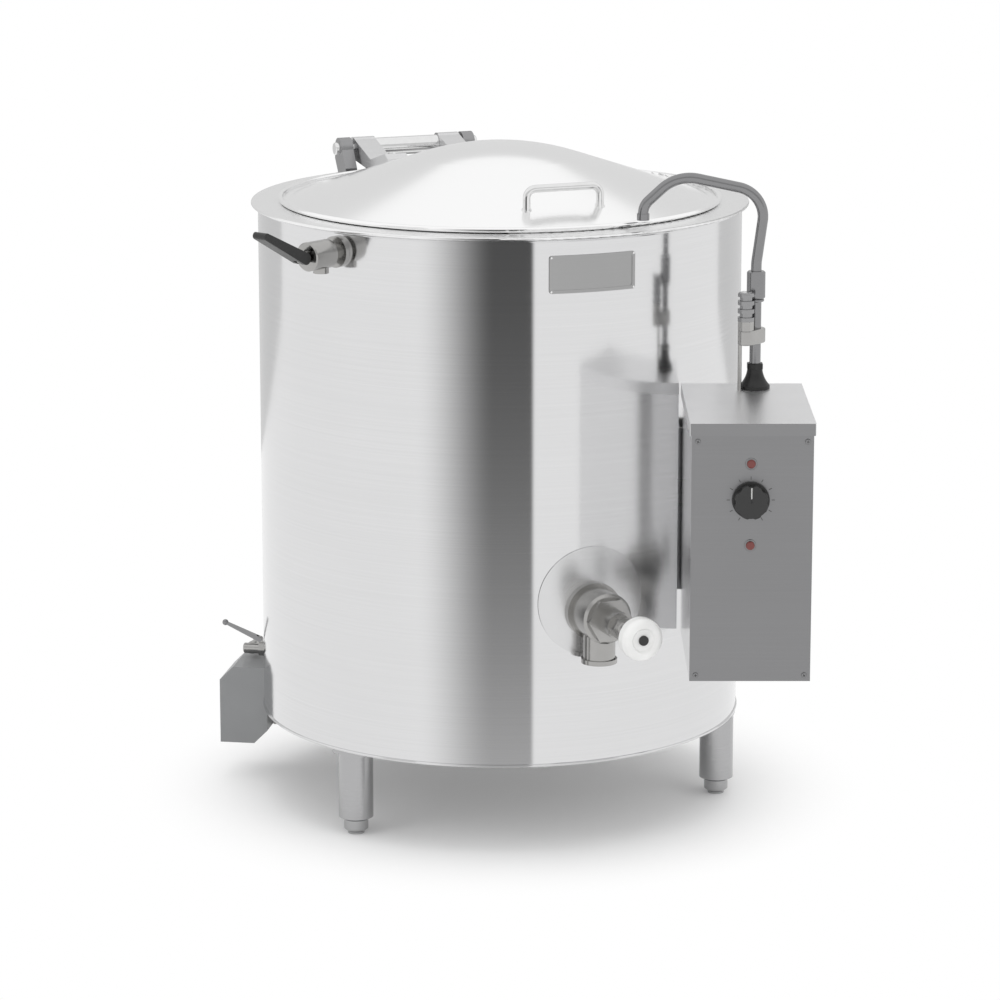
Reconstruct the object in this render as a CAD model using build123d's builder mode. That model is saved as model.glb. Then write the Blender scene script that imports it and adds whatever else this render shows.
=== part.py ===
from build123d import *
import math
import os

os.makedirs("parts", exist_ok=True)

# All sizes are in millimetres. The kettle stands on z = 0 about the Z axis, with its
# control box facing -Y. Azimuths are in degrees from -Y, positive towards +X.

# Outer shell and rim
shell_radius = 381.0
shell_wall = 2.0
shell_bottom = 137.0
rim_height = 957.0
rim_radius = 392.0
deck_thickness = 3.5
rim_edge = 4.0
rim_round = 2.0
rim_skirt_drop = 7.0

# Kettle vessel, steam jacket and sump
vessel_radius = 330.0
vessel_wall = 3.0
drain_rise = 30.0
jacket_space = 25.0
jacket_wall = 4.0
jacket_height = 120.0
sump_radius = 125.0
sump_wall = 4.0
sump_bottom = 190.0
sump_flange = 15.0
flange_thickness = 9.0
insulation_thickness = 14.0
insulation_bottom = 345.0
insulation_top_gap = 15.0
base_thickness = 3.0
clearance = 0.3
running_clearance = 0.05

# Heating elements
element_radius = 4.5
element_height = 100.0
element_width = 44.0
element_bend = 21.0
element_spacing = 45.0
element_count = 3

# Legs and levelling feet
leg_circle = 353.0
leg_azimuths = {"front_left": -39.5, "front_right": 80.5, "rear": 200.5}
leg_radius = 27.0
leg_wall = 2.5
leg_collar_radius = 36.0
leg_collar_height = 6.0
foot_height = 27.0
foot_radius = 19.0
foot_pad_radius = 13.0
foot_pad_height = 3.0
foot_toe_height = 8.0
foot_waist_radius = 16.0
stud_radius = 8.0
stud_length = 50.0
leg_plug_height = 24.0

# Service side, which carries the name plate and the draw-off valve
service_azimuth = 21.5
valve_height = 380.0
tube_radius = 25.4
tube_wall = 1.6
tube_start = 30.0
tube_end = 389.0
escutcheon_radius = 85.0
escutcheon_rise = 14.0
plate_thickness = 2.0
plate_drop = 58.0
plate_width = 139.0
plate_length = 57.0
plate_border = 5.0
plate_relief = 1.2
plate_corner = 4.0

# Draw-off valve, by its distances from the kettle's axis
valve_flange_radius = 44.0
valve_flange_end = 393.0
valve_body_radius = 39.0
valve_body_end = 446.0
valve_edge = 4.0
seat_radius = 19.0
seat_end = 394.0
chamber_radius = 24.0
outlet_distance = 411.0
outlet_radius = 24.5
outlet_bore = 20.0
outlet_depth = 40.0
outlet_throat = 17.5
outlet_bottom = 305.0
outlet_bead = 3.0
outlet_bead_height = 7.0
bonnet_flange_radius = 36.0
bonnet_flange_length = 10.0
bonnet_neck_radius = 21.0
bonnet_end = 492.0
packing_nut_size = 18.0
packing_nut_length = 14.0
stem_radius = 6.0
plug_length = 10.0
plug_socket = 6.0
seal_thickness = 3.0
knob_start = 553.0
knob_length = 28.0
knob_radius = 32.5
knob_edge = 9.0
knob_dish = 3.0
knob_dish_radius = 19.0
knob_cap_radius = 7.5
knob_cap_length = 4.0
knob_cap_edge = 1.5

# Lid and its handle
lid_radius = 345.0
lid_wall = 2.5
lid_gap = 0.5
lid_cone_radius = 329.0
lid_cone_angle = 18.3
lid_cap_radius = 130.0
lid_bead_radius = 4.0
handle_distance = 262.0
handle_span = 120.0
handle_rise = 54.0
handle_rod_radius = 6.0
handle_bend = 14.0

# Lid hinge, opposite the service side
hinge_azimuth = service_azimuth + 180
hinge_distance = 432.0
hinge_height = 986.0
hinge_half_length = 118.0
hinge_cheek = 20.0
hinge_slot = 5.0
hinge_arm_width = 37.0
hinge_eye_radius = 18.0
hinge_pin_radius = 7.0
hinge_pin_overhang = 4.0
hinge_foot_bottom = 880.0
hinge_foot_depth = 10.0
hinge_arm_thickness = 14.0
hinge_arm_reach = 262.0
spring_tube_radius = 15.0
spring_tube_wall = 2.5

# Control box
box_left = 279.0
box_gap = 4.0
box_width = 178.0
box_depth = 298.0
box_bottom = 325.0
box_height = 388.0
box_wall = 1.5
hood_overhang = 3.0
hood_skirt = 18.0
cover_fold = 14.0
box_corner = 3.0
channel_inset = 12.0
channel_width = 80.0
channel_wall = 3.0
channel_bottom = 385.0
channel_height = 255.0
screw_radius = 4.0
screw_head = 2.5
screw_inset = 9.0

# Controls on the front cover
dial_x = 366.0
dial_height = 599.0
dial_radius = 25.0
dial_length = 22.0
dial_skirt_radius = 27.5
dial_skirt_length = 4.0
dial_flute_count = 8
dial_flute_radius = 9.0
dial_flute_depth = 2.2
dial_shaft_radius = 3.0
dial_shaft_length = 18.0
dial_hole_radius = 4.0
dial_chamfer = 1.0
pointer_width = 2.4
pointer_depth = 1.2
lens_radius = 6.5
lens_length = 5.0
lens_round = 2.2
lens_stem_radius = 4.5
lens_stem_length = 14.0
lens_heights = {"pilot_light": 653.0, "low_water_light": 531.0}
thermostat_size = (52.0, 40.0, 52.0)
contactor_size = (60.0, 70.0, 82.0)
contactor_height = 420.0
contactor_x = 326.0
terminal_size = (96.0, 26.0, 30.0)
terminal_height = 360.0
terminal_slots = 5
terminal_pitch = 16.0
terminal_slot_width = 2.4

# Fill faucet on top of the control box
faucet_x = 386.0
faucet_y = -301.0
faucet_base_radius = 23.0
faucet_base_height = 30.0
faucet_base_foot = 5.0
faucet_base_neck = 11.5
riser_radius = 8.5
riser_top = 872.0
faucet_body_bottom = 784.0
faucet_body_height = 22.0
faucet_body_radius = 15.0
faucet_body_edge = 2.0
faucet_valve_offset = (-16.0, -23.0)
faucet_valve_radius = 12.0
faucet_bonnet_height = 14.0
faucet_handle_height = 44.0
faucet_handle_radius = 12.5
faucet_handle_grooves = 3
faucet_handle_edge = 3.0
spindle_radius = 3.2
spindle_length = 38.0
supply_tube_radius = 3.0
supply_tube_offset = (-24.0, -16.0)
swivel_height = 42.0
swivel_radius = 14.0
swivel_edge = 2.0
spout_radius = 8.0
spout_wall = 1.3
spout_reach = 171.0
spout_azimuth = 266.2
spout_lean = 14.0
spout_neck_rise = 33.0
spout_neck_bend = 70.0
spout_shoulder_rise = 106.0
spout_shoulder_bend = 45.0
spout_crown_reach = 120.0
spout_crown_rise = 27.0
spout_crown_bend = 62.0
spout_tip_rise = 11.5
spout_drop_length = 21.5
spout_tip_bend = 26.0
nozzle_radius = 9.5
nozzle_length = 10.0
pipe_radius = 6.4
inlet_radius = 10.5
inlet_length = 25.0
inlet_shank_radius = 9.0
inlet_hex = 14.5

# Jacket vent at the top left
vent_azimuth = -40.0
vent_drop = 36.0
vent_pipe_radius = 8.0
vent_pipe_distance = 348.0
vent_pipe_bend = 14.0
vent_flange_gap = 5.0
vent_flange_length = 7.0
vent_neck_radius = 13.0
vent_body_start = 404.0
vent_body_radius = 22.0
vent_body_length = 46.0
vent_spout_distance = 418.0
vent_spout_radius = 12.0
vent_spout_drop = 28.0
vent_edge = 2.0
vent_pivot_distance = 462.0
vent_pivot_radius = 4.0
vent_lever_length = 96.0
vent_lever_angle = 27.0
vent_lever_width = 24.0
vent_lever_start = 9.0
vent_lever_end = 5.5
vent_lug_width = 8.0

# Relief valve at the lower left
relief_azimuth = -100.0
relief_height = 205.0
relief_pipe_radius = 8.0
relief_pipe_takeoff = 430.0
relief_pipe_distance = 320.0
relief_pipe_bend = 25.0
relief_hex = 12.0
relief_hex_end = 399.0
relief_body_radius = 8.5
relief_body_length = 26.0
relief_body_edge = 1.5
relief_outlet_distance = 412.0
relief_collar_radius = 10.0
relief_collar_length = 10.5
relief_outlet_radius = 8.0
relief_outlet_bore = 5.5
relief_outlet_length = 24.0
relief_pivot_distance = 398.0
relief_pin_radius = 2.5
relief_pivot_rise = 16.0
relief_lug_radius = 5.0
relief_lever_length = 63.0
relief_lever_angle = 24.0
relief_lever_thickness = 3.0
relief_lever_width = 8.0
relief_ball_radius = 5.0

# Junction box at the lower left
junction_azimuth = -99.0
junction_inner = 374.0
junction_outer = 452.0
junction_bottom = 62.0
junction_top = 189.0
junction_width = 110.0
junction_chamfer = 22.0
junction_wall = 2.5
entry_radius = 11.1
entry_distance = 420.0
elbow_radius = 12.0
elbow_distance = 352.0
elbow_height = 92.0
elbow_bend = 18.0

# Pressure gauge and sight glass, on the hidden side beside the relief valve
gauge_azimuth = -128.0
gauge_height = 470.0
gauge_radius = 34.0
gauge_depth = 28.0
gauge_stem_radius = 7.0
gauge_standoff = 18.0
gauge_bezel = 4.0
sight_azimuth = -143.0
sight_heights = (235.0, 395.0)
sight_distance = 402.0
sight_fitting_radius = 12.0
sight_fitting_height = 26.0
sight_stem_radius = 7.0
sight_tube_radius = 6.0
sight_tube_wall = 1.2

# Worked out from the sizes above
deck_bottom = rim_height - deck_thickness
shell_inner = shell_radius - shell_wall
bowl_centre = valve_height - drain_rise + vessel_radius
vessel_outer = vessel_radius + vessel_wall
jacket_inner = vessel_outer + jacket_space
jacket_outer = jacket_inner + jacket_wall
jacket_top = bowl_centre + jacket_height
base_top = shell_bottom + base_thickness
box_right = box_left + box_width
box_back = -math.sqrt((shell_radius + box_gap) ** 2 - box_left**2)
box_front = box_back - box_depth
box_top = box_bottom + box_height
box_middle = (box_left + box_right) / 2
lid_bottom = rim_height + lid_gap
lid_top = lid_bottom + lid_wall
lid_slope = math.tan(math.radians(lid_cone_angle))
lid_cap_bottom = lid_top + (lid_cone_radius - lid_cap_radius) * lid_slope
lid_sphere = lid_cap_radius / math.sin(math.radians(lid_cone_angle))
lid_apex = lid_cap_bottom + lid_sphere * (1 - math.cos(math.radians(lid_cone_angle)))
swivel_bottom = riser_top - swivel_height / 2
spout_neck_height = riser_top + spout_neck_rise
spout_shoulder_height = spout_neck_height + spout_shoulder_rise
spout_crown_height = spout_shoulder_height + spout_crown_rise
spout_tip_height = rim_height + spout_tip_rise
spout_drop_height = spout_tip_height + spout_drop_length
plate_height = rim_height - plate_drop
vent_height = rim_height - vent_drop
vent_flange_radius = vent_drop - rim_skirt_drop - vent_flange_gap


def outward(azimuth):
    # Unit vector pointing away from the kettle's axis
    angle = math.radians(azimuth)
    return Vector(math.sin(angle), -math.cos(angle), 0)


def sideways(azimuth):
    # Unit vector to the right of someone who faces that side of the kettle
    angle = math.radians(azimuth)
    return Vector(math.cos(angle), math.sin(angle), 0)


def section_plane(azimuth, distance=0.0, height=0.0, offset=0.0):
    # Upright plane: x points outward, y points up
    origin = outward(azimuth) * distance + sideways(azimuth) * offset + Vector(0, 0, height)
    return Plane(origin=origin, x_dir=outward(azimuth), z_dir=-sideways(azimuth))


def face_plane(azimuth, distance, height, offset=0.0):
    # Upright plane that looks outward: x points to the viewer's right, y points up
    origin = outward(azimuth) * distance + sideways(azimuth) * offset + Vector(0, 0, height)
    return Plane(origin=origin, x_dir=sideways(azimuth), z_dir=outward(azimuth))


def outward_axis(azimuth, height, offset=0.0):
    # Level axis that points outward through the kettle's side
    return Axis(sideways(azimuth) * offset + Vector(0, 0, height), outward(azimuth))


def upright_axis(azimuth, distance):
    # Vertical axis at a distance from the kettle's axis
    return Axis(outward(azimuth) * distance, Vector(0, 0, 1))


# Outer shell: rolled sheet with holes for what passes through it
through_holes = [
    (service_azimuth, valve_height, tube_radius + clearance),
    (vent_azimuth, vent_height, vent_pipe_radius + clearance),
    (relief_azimuth, relief_height, relief_pipe_radius + clearance),
    (gauge_azimuth, gauge_height, gauge_stem_radius + clearance),
    (sight_azimuth, sight_heights[0], sight_stem_radius + clearance),
    (sight_azimuth, sight_heights[1], sight_stem_radius + clearance),
]
with BuildPart() as outer_shell:
    with BuildSketch(Plane.XY.offset(shell_bottom)):
        Circle(shell_radius)
        Circle(shell_inner, mode=Mode.SUBTRACT)
    extrude(amount=deck_bottom - shell_bottom)
    for azimuth, height, radius in through_holes:
        with BuildSketch(face_plane(azimuth, vessel_radius, height)):
            Circle(radius)
        extrude(amount=rim_radius - vessel_radius, mode=Mode.SUBTRACT)
outer_shell.part.label = "outer_shell"
export_step(outer_shell.part, "parts/outer_shell.step")

# Rim deck: flat ring between the vessel's mouth and the shell, with a sloping skirt
with BuildPart() as rim_deck:
    with BuildSketch(Plane.XZ):
        with BuildLine():
            Polyline(
                (vessel_radius, deck_bottom),
                (vessel_radius, rim_height),
                (rim_radius, rim_height),
                (rim_radius, rim_height - rim_edge),
                (shell_radius, rim_height - rim_skirt_drop),
                (shell_radius, deck_bottom),
                close=True,
            )
        deck_face = make_face()
        fillet(deck_face.vertices().sort_by(Axis.X)[-2:], rim_round)
    revolve(axis=Axis.Z)
rim_deck.part.label = "rim_deck"
export_step(rim_deck.part, "parts/rim_deck.step")

# Kettle vessel: straight wall over a hemispherical bowl, opened for the tangent draw-off
with BuildPart() as kettle_vessel:
    with BuildSketch(Plane.XZ):
        with BuildLine():
            CenterArc((0, bowl_centre), vessel_radius, -90, 90)
            Polyline(
                (vessel_radius, bowl_centre),
                (vessel_radius, deck_bottom),
                (vessel_outer, deck_bottom),
                (vessel_outer, bowl_centre),
            )
            CenterArc((0, bowl_centre), vessel_outer, 0, -90)
            Line((0, bowl_centre - vessel_outer), (0, bowl_centre - vessel_radius))
        make_face()
    revolve(axis=Axis.Z)
    with BuildSketch(face_plane(service_azimuth, tube_start, valve_height)):
        Circle(tube_radius)
    extrude(amount=vessel_radius, mode=Mode.SUBTRACT)
kettle_vessel.part.label = "kettle_vessel"
export_step(kettle_vessel.part, "parts/kettle_vessel.step")

# Draw-off tube: runs out level from the bottom of the bowl
with BuildPart() as draw_off_tube:
    with BuildSketch(face_plane(service_azimuth, tube_start, valve_height)):
        Circle(tube_radius)
        Circle(tube_radius - tube_wall, mode=Mode.SUBTRACT)
    extrude(amount=tube_end - tube_start)
    with Locations((0, 0, bowl_centre)):
        Sphere(vessel_radius, mode=Mode.SUBTRACT)
draw_off_tube.part.label = "draw_off_tube"
export_step(draw_off_tube.part, "parts/draw_off_tube.step")

# Steam jacket: outer bowl round the lower two thirds of the vessel, closed at its top
with BuildPart() as steam_jacket:
    with BuildSketch(Plane.XZ):
        with BuildLine():
            CenterArc((0, bowl_centre), jacket_inner, -90, 90)
            Polyline(
                (jacket_inner, bowl_centre),
                (jacket_inner, jacket_top - jacket_wall),
                (vessel_outer, jacket_top - jacket_wall),
                (vessel_outer, jacket_top),
                (jacket_outer, jacket_top),
                (jacket_outer, bowl_centre),
            )
            CenterArc((0, bowl_centre), jacket_outer, 0, -90)
            Line((0, bowl_centre - jacket_outer), (0, bowl_centre - jacket_inner))
        make_face()
    revolve(axis=Axis.Z)
    with BuildSketch(Plane.XY.offset(sump_bottom)):
        Circle(sump_radius - sump_wall)
    extrude(amount=valve_height - drain_rise - sump_bottom, mode=Mode.SUBTRACT)
    with BuildSketch(face_plane(service_azimuth, tube_start, valve_height)):
        Circle(tube_radius)
    extrude(amount=jacket_outer, mode=Mode.SUBTRACT)
    with BuildSketch(face_plane(relief_azimuth, sump_radius, relief_pipe_takeoff)):
        Circle(relief_pipe_radius)
    extrude(amount=jacket_outer, mode=Mode.SUBTRACT)
steam_jacket.part.label = "steam_jacket"
export_step(steam_jacket.part, "parts/steam_jacket.step")

# Jacket sump: well under the bowl that holds the water and the heating elements
with BuildPart() as jacket_sump:
    with BuildSketch(Plane.XY.offset(sump_bottom)):
        Circle(sump_radius + sump_flange)
        Circle(sump_radius - sump_wall, mode=Mode.SUBTRACT)
    extrude(amount=flange_thickness)
    with BuildSketch(Plane.XY.offset(sump_bottom)):
        Circle(sump_radius)
        Circle(sump_radius - sump_wall, mode=Mode.SUBTRACT)
    extrude(amount=bowl_centre - sump_bottom)
    with Locations((0, 0, bowl_centre)):
        Sphere(jacket_outer, mode=Mode.SUBTRACT)
jacket_sump.part.label = "jacket_sump"
export_step(jacket_sump.part, "parts/jacket_sump.step")

# Heating elements: upright hairpins brazed into the flange that closes the sump
with BuildPart() as heating_elements:
    with BuildSketch(Plane.XY.offset(sump_bottom - flange_thickness)):
        Circle(sump_radius + sump_flange)
    extrude(amount=flange_thickness)
    for index in range(element_count):
        row = (index - (element_count - 1) / 2) * element_spacing
        hairpin_plane = Plane(origin=(0, row, sump_bottom), x_dir=(1, 0, 0), z_dir=(0, -1, 0))
        with BuildLine(hairpin_plane):
            FilletPolyline(
                (-element_width / 2, 0),
                (-element_width / 2, element_height),
                (element_width / 2, element_height),
                (element_width / 2, 0),
                radius=element_bend,
            )
        with BuildSketch(Plane(origin=(-element_width / 2, row, sump_bottom), z_dir=(0, 0, 1))):
            Circle(element_radius)
        sweep()
heating_elements.part.label = "heating_elements"
export_step(heating_elements.part, "parts/heating_elements.step")

# Insulation: blanket between the jacket and the shell
with BuildPart() as insulation:
    with BuildSketch(Plane.XY.offset(insulation_bottom)):
        Circle(shell_inner - clearance)
        Circle(shell_inner - clearance - insulation_thickness, mode=Mode.SUBTRACT)
    extrude(amount=deck_bottom - insulation_top_gap - insulation_bottom)
    for azimuth, height, radius in through_holes:
        with BuildSketch(face_plane(azimuth, vessel_outer, height)):
            Circle(radius + clearance)
        extrude(amount=rim_radius - vessel_outer, mode=Mode.SUBTRACT)
insulation.part.label = "insulation"
export_step(insulation.part, "parts/insulation.step")

# Base plate: closes the shell from below
with BuildPart() as base_plate:
    with BuildSketch(Plane.XY.offset(shell_bottom)):
        Circle(shell_inner)
        elbow_spot = outward(junction_azimuth) * elbow_distance
        with Locations((elbow_spot.X, elbow_spot.Y)):
            Circle(elbow_radius, mode=Mode.SUBTRACT)
    extrude(amount=base_thickness)
base_plate.part.label = "base_plate"
export_step(base_plate.part, "parts/base_plate.step")

# Legs: tubes with a trimmed collar at the top and a threaded plug at the bottom
for side, azimuth in leg_azimuths.items():
    spot = outward(azimuth) * leg_circle
    with BuildPart() as leg:
        with BuildSketch(Plane.XY.offset(shell_bottom - leg_collar_height)):
            with Locations((spot.X, spot.Y)):
                Circle(leg_collar_radius)
            Circle(shell_radius, mode=Mode.INTERSECT)
        extrude(amount=leg_collar_height)
        with BuildSketch(section_plane(azimuth, leg_circle)):
            with BuildLine():
                Polyline(
                    (stud_radius + running_clearance, foot_height),
                    (leg_radius, foot_height),
                    (leg_radius, shell_bottom),
                    (leg_radius - leg_wall, shell_bottom),
                    (leg_radius - leg_wall, foot_height + leg_plug_height),
                    (stud_radius + running_clearance, foot_height + leg_plug_height),
                    close=True,
                )
            make_face()
        revolve(axis=upright_axis(azimuth, leg_circle))
        with BuildSketch(Plane.XY.offset(shell_bottom - leg_collar_height)):
            with Locations((spot.X, spot.Y)):
                Circle(leg_radius - leg_wall)
        extrude(amount=leg_collar_height, mode=Mode.SUBTRACT)
    leg.part.label = f"leg_{side}"
    export_step(leg.part, f"parts/leg_{side}.step")

# Levelling feet: bullet feet on threaded studs
for side, azimuth in leg_azimuths.items():
    foot_top = foot_height - clearance
    with BuildPart() as foot:
        with BuildSketch(section_plane(azimuth, leg_circle)):
            with BuildLine():
                Polyline(
                    (0, 0),
                    (foot_pad_radius, 0),
                    (foot_pad_radius, foot_pad_height),
                    (foot_radius, foot_toe_height),
                    (foot_radius, foot_top - foot_toe_height / 2),
                    (foot_waist_radius, foot_top),
                    (stud_radius, foot_top),
                    (stud_radius, foot_top + stud_length),
                    (0, foot_top + stud_length),
                    close=True,
                )
            make_face()
        revolve(axis=upright_axis(azimuth, leg_circle))
    foot.part.label = f"foot_{side}"
    export_step(foot.part, f"parts/foot_{side}.step")

# Escutcheon: round plate on the shell behind the draw-off valve
with BuildPart() as valve_escutcheon:
    with BuildSketch(face_plane(service_azimuth, vessel_radius, valve_height + escutcheon_rise)):
        Circle(escutcheon_radius)
    extrude(amount=rim_radius - vessel_radius)
    with BuildSketch(Plane.XY.offset(shell_bottom)):
        Circle(shell_radius + plate_thickness)
    extrude(amount=deck_bottom - shell_bottom, mode=Mode.INTERSECT)
    with BuildSketch(Plane.XY.offset(shell_bottom)):
        Circle(shell_radius)
    extrude(amount=deck_bottom - shell_bottom, mode=Mode.SUBTRACT)
    with BuildSketch(face_plane(service_azimuth, vessel_radius, valve_height)):
        Circle(tube_radius)
    extrude(amount=rim_radius - vessel_radius, mode=Mode.SUBTRACT)
valve_escutcheon.part.label = "valve_escutcheon"
export_step(valve_escutcheon.part, "parts/valve_escutcheon.step")

# Name plate: curved blank plate with a raised border
with BuildPart() as plate_pocket:
    with BuildSketch(face_plane(service_azimuth, vessel_radius, plate_height)):
        RectangleRounded(plate_width - 2 * plate_border, plate_length - 2 * plate_border, plate_corner)
    extrude(amount=rim_radius - vessel_radius)
    with BuildSketch(Plane.XY.offset(shell_bottom)):
        Circle(shell_radius + plate_relief)
    extrude(amount=deck_bottom - shell_bottom, mode=Mode.SUBTRACT)
with BuildPart() as name_plate:
    with BuildSketch(face_plane(service_azimuth, vessel_radius, plate_height)):
        RectangleRounded(plate_width, plate_length, plate_corner)
    extrude(amount=rim_radius - vessel_radius)
    with BuildSketch(Plane.XY.offset(shell_bottom)):
        Circle(shell_radius + plate_thickness)
    extrude(amount=deck_bottom - shell_bottom, mode=Mode.INTERSECT)
    with BuildSketch(Plane.XY.offset(shell_bottom)):
        Circle(shell_radius)
    extrude(amount=deck_bottom - shell_bottom, mode=Mode.SUBTRACT)
    add(plate_pocket.part, mode=Mode.SUBTRACT)
name_plate.part.label = "name_plate"
export_step(name_plate.part, "parts/name_plate.step")

# Draw-off valve body: level chamber with a seat at the kettle end and an outlet below
outlet_spot = outward(service_azimuth) * outlet_distance
with BuildPart() as valve_body:
    with BuildSketch(section_plane(service_azimuth, 0, valve_height)):
        with BuildLine():
            Polyline(
                (vessel_radius, 0),
                (vessel_radius, valve_flange_radius),
                (valve_flange_end, valve_flange_radius),
                (valve_flange_end, valve_body_radius),
                (valve_body_end - valve_edge, valve_body_radius),
                (valve_body_end, valve_body_radius - valve_edge),
                (valve_body_end, 0),
                close=True,
            )
        make_face()
    revolve(axis=outward_axis(service_azimuth, valve_height))
    with BuildSketch(Plane.XY.offset(outlet_bottom)):
        with Locations((outlet_spot.X, outlet_spot.Y)):
            Circle(outlet_radius)
    extrude(amount=valve_height - outlet_bottom)
    with BuildSketch(Plane.XY.offset(outlet_bottom)):
        with Locations((outlet_spot.X, outlet_spot.Y)):
            Circle(outlet_radius + outlet_bead)
    extrude(amount=outlet_bead_height)
    with BuildSketch(face_plane(service_azimuth, seat_end, valve_height)):
        Circle(chamber_radius)
    extrude(amount=valve_body_end - seat_end, mode=Mode.SUBTRACT)
    with BuildSketch(face_plane(service_azimuth, tube_end, valve_height)):
        Circle(seat_radius)
    extrude(amount=valve_body_end - tube_end, mode=Mode.SUBTRACT)
    with BuildSketch(face_plane(service_azimuth, vessel_radius, valve_height)):
        Circle(tube_radius)
    extrude(amount=tube_end - vessel_radius, mode=Mode.SUBTRACT)
    with BuildSketch(Plane.XY.offset(outlet_bottom)):
        with Locations((outlet_spot.X, outlet_spot.Y)):
            Circle(outlet_bore)
    extrude(amount=outlet_depth, mode=Mode.SUBTRACT)
    with BuildSketch(Plane.XY.offset(outlet_bottom)):
        with Locations((outlet_spot.X, outlet_spot.Y)):
            Circle(outlet_throat)
    extrude(amount=valve_height - outlet_bottom, mode=Mode.SUBTRACT)
    with BuildSketch(Plane.XY.offset(outlet_bottom)):
        Circle(shell_radius + plate_thickness)
    extrude(amount=rim_height - outlet_bottom, mode=Mode.SUBTRACT)
valve_body.part.label = "valve_body"
export_step(valve_body.part, "parts/valve_body.step")

# Valve bonnet: hexagon against the body, then a round neck bored for the stem
with BuildPart() as valve_bonnet:
    with BuildSketch(face_plane(service_azimuth, valve_body_end, valve_height)):
        RegularPolygon(bonnet_flange_radius, 6)
    extrude(amount=bonnet_flange_length)
    with BuildSketch(face_plane(service_azimuth, valve_body_end + bonnet_flange_length, valve_height)):
        Circle(bonnet_neck_radius)
    extrude(amount=bonnet_end - valve_body_end - bonnet_flange_length)
    with BuildSketch(face_plane(service_azimuth, valve_body_end, valve_height)):
        Circle(stem_radius + running_clearance)
    extrude(amount=bonnet_end - valve_body_end, mode=Mode.SUBTRACT)
valve_bonnet.part.label = "valve_bonnet"
export_step(valve_bonnet.part, "parts/valve_bonnet.step")

# Packing nut on the bonnet's neck
with BuildPart() as packing_nut:
    with BuildSketch(face_plane(service_azimuth, bonnet_end, valve_height)):
        RegularPolygon(packing_nut_size, 6)
        Circle(stem_radius + running_clearance, mode=Mode.SUBTRACT)
    extrude(amount=packing_nut_length)
packing_nut.part.label = "packing_nut"
export_step(packing_nut.part, "parts/packing_nut.step")

# Valve plug: disc with a seal ring that faces the seat
plug_start = seat_end + clearance
plug_end = plug_start + plug_length
with BuildPart() as valve_plug:
    with BuildSketch(face_plane(service_azimuth, plug_start + seal_thickness, valve_height)):
        Circle(chamber_radius - clearance)
    extrude(amount=plug_length - seal_thickness)
    with BuildSketch(face_plane(service_azimuth, plug_start, valve_height)):
        Circle((chamber_radius + seat_radius) / 2)
    extrude(amount=seal_thickness)
    with BuildSketch(face_plane(service_azimuth, plug_end - plug_socket, valve_height)):
        Circle(stem_radius + running_clearance)
    extrude(amount=plug_socket, mode=Mode.SUBTRACT)
valve_plug.part.label = "valve_plug"
export_step(valve_plug.part, "parts/valve_plug.step")

# Valve stem: from the plug's socket out to the knob
stem_start = plug_end - plug_socket + clearance
stem_end = knob_start + knob_length - knob_dish
with BuildPart() as valve_stem:
    with BuildSketch(face_plane(service_azimuth, stem_start, valve_height)):
        Circle(stem_radius)
    extrude(amount=stem_end - stem_start)
valve_stem.part.label = "valve_stem"
export_step(valve_stem.part, "parts/valve_stem.step")

# Valve knob: rounded hand knob with a shallow dish in its face
with BuildPart() as valve_knob:
    with BuildSketch(section_plane(service_azimuth, knob_start, valve_height)):
        with BuildLine():
            Polyline(
                (0, stem_radius),
                (0, knob_radius),
                (knob_length, knob_radius),
                (knob_length, knob_dish_radius),
                (knob_length - knob_dish, knob_dish_radius - knob_dish),
                (knob_length - knob_dish, stem_radius),
                close=True,
            )
        knob_face = make_face()
        fillet(knob_face.vertices().sort_by(Axis.Y)[-2:], knob_edge)
    revolve(axis=outward_axis(service_azimuth, valve_height))
valve_knob.part.label = "valve_knob"
export_step(valve_knob.part, "parts/valve_knob.step")

# Knob cap: dark button over the end of the stem
with BuildPart() as knob_cap:
    with BuildSketch(face_plane(service_azimuth, stem_end, valve_height)):
        Circle(knob_cap_radius)
    extrude(amount=knob_cap_length)
    cap_rims = knob_cap.edges().filter_by(GeomType.CIRCLE)
    fillet(cap_rims.sort_by(outward_axis(service_azimuth, 0))[-1], knob_cap_edge)
knob_cap.part.label = "knob_cap"
export_step(knob_cap.part, "parts/knob_cap.step")

# Lid: spun sheet with a flat lip, a rolled edge, a cone and a rounded crown
with BuildPart() as lid:
    with BuildSketch(Plane.XZ):
        with BuildLine():
            Polyline(
                (lid_cap_radius, lid_cap_bottom - lid_wall),
                (lid_cone_radius, lid_bottom),
                (lid_radius, lid_bottom),
                (lid_radius, lid_top),
                (lid_cone_radius, lid_top),
                (lid_cap_radius, lid_cap_bottom),
            )
            CenterArc((0, lid_apex - lid_sphere), lid_sphere, 90 - lid_cone_angle, lid_cone_angle)
            Line((0, lid_apex), (0, lid_apex - lid_wall))
            CenterArc((0, lid_apex - lid_wall - lid_sphere), lid_sphere, 90, -lid_cone_angle)
        make_face()
        with Locations((lid_radius, lid_bottom + lid_bead_radius)):
            Circle(lid_bead_radius)
    revolve(axis=Axis.Z)
lid.part.label = "lid"
export_step(lid.part, "parts/lid.step")

# The space under the lid's outer surface, which trims what stands on the lid
with BuildPart() as lid_envelope:
    with BuildSketch(Plane.XZ):
        with BuildLine():
            Polyline(
                (0, lid_apex),
                (0, lid_bottom),
                (lid_radius, lid_bottom),
                (lid_radius, lid_top),
                (lid_cone_radius, lid_top),
                (lid_cap_radius, lid_cap_bottom),
            )
            CenterArc((0, lid_apex - lid_sphere), lid_sphere, 90 - lid_cone_angle, lid_cone_angle)
        make_face()
        with Locations((lid_radius, lid_bottom + lid_bead_radius)):
            Circle(lid_bead_radius)
    revolve(axis=Axis.Z)

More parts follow.
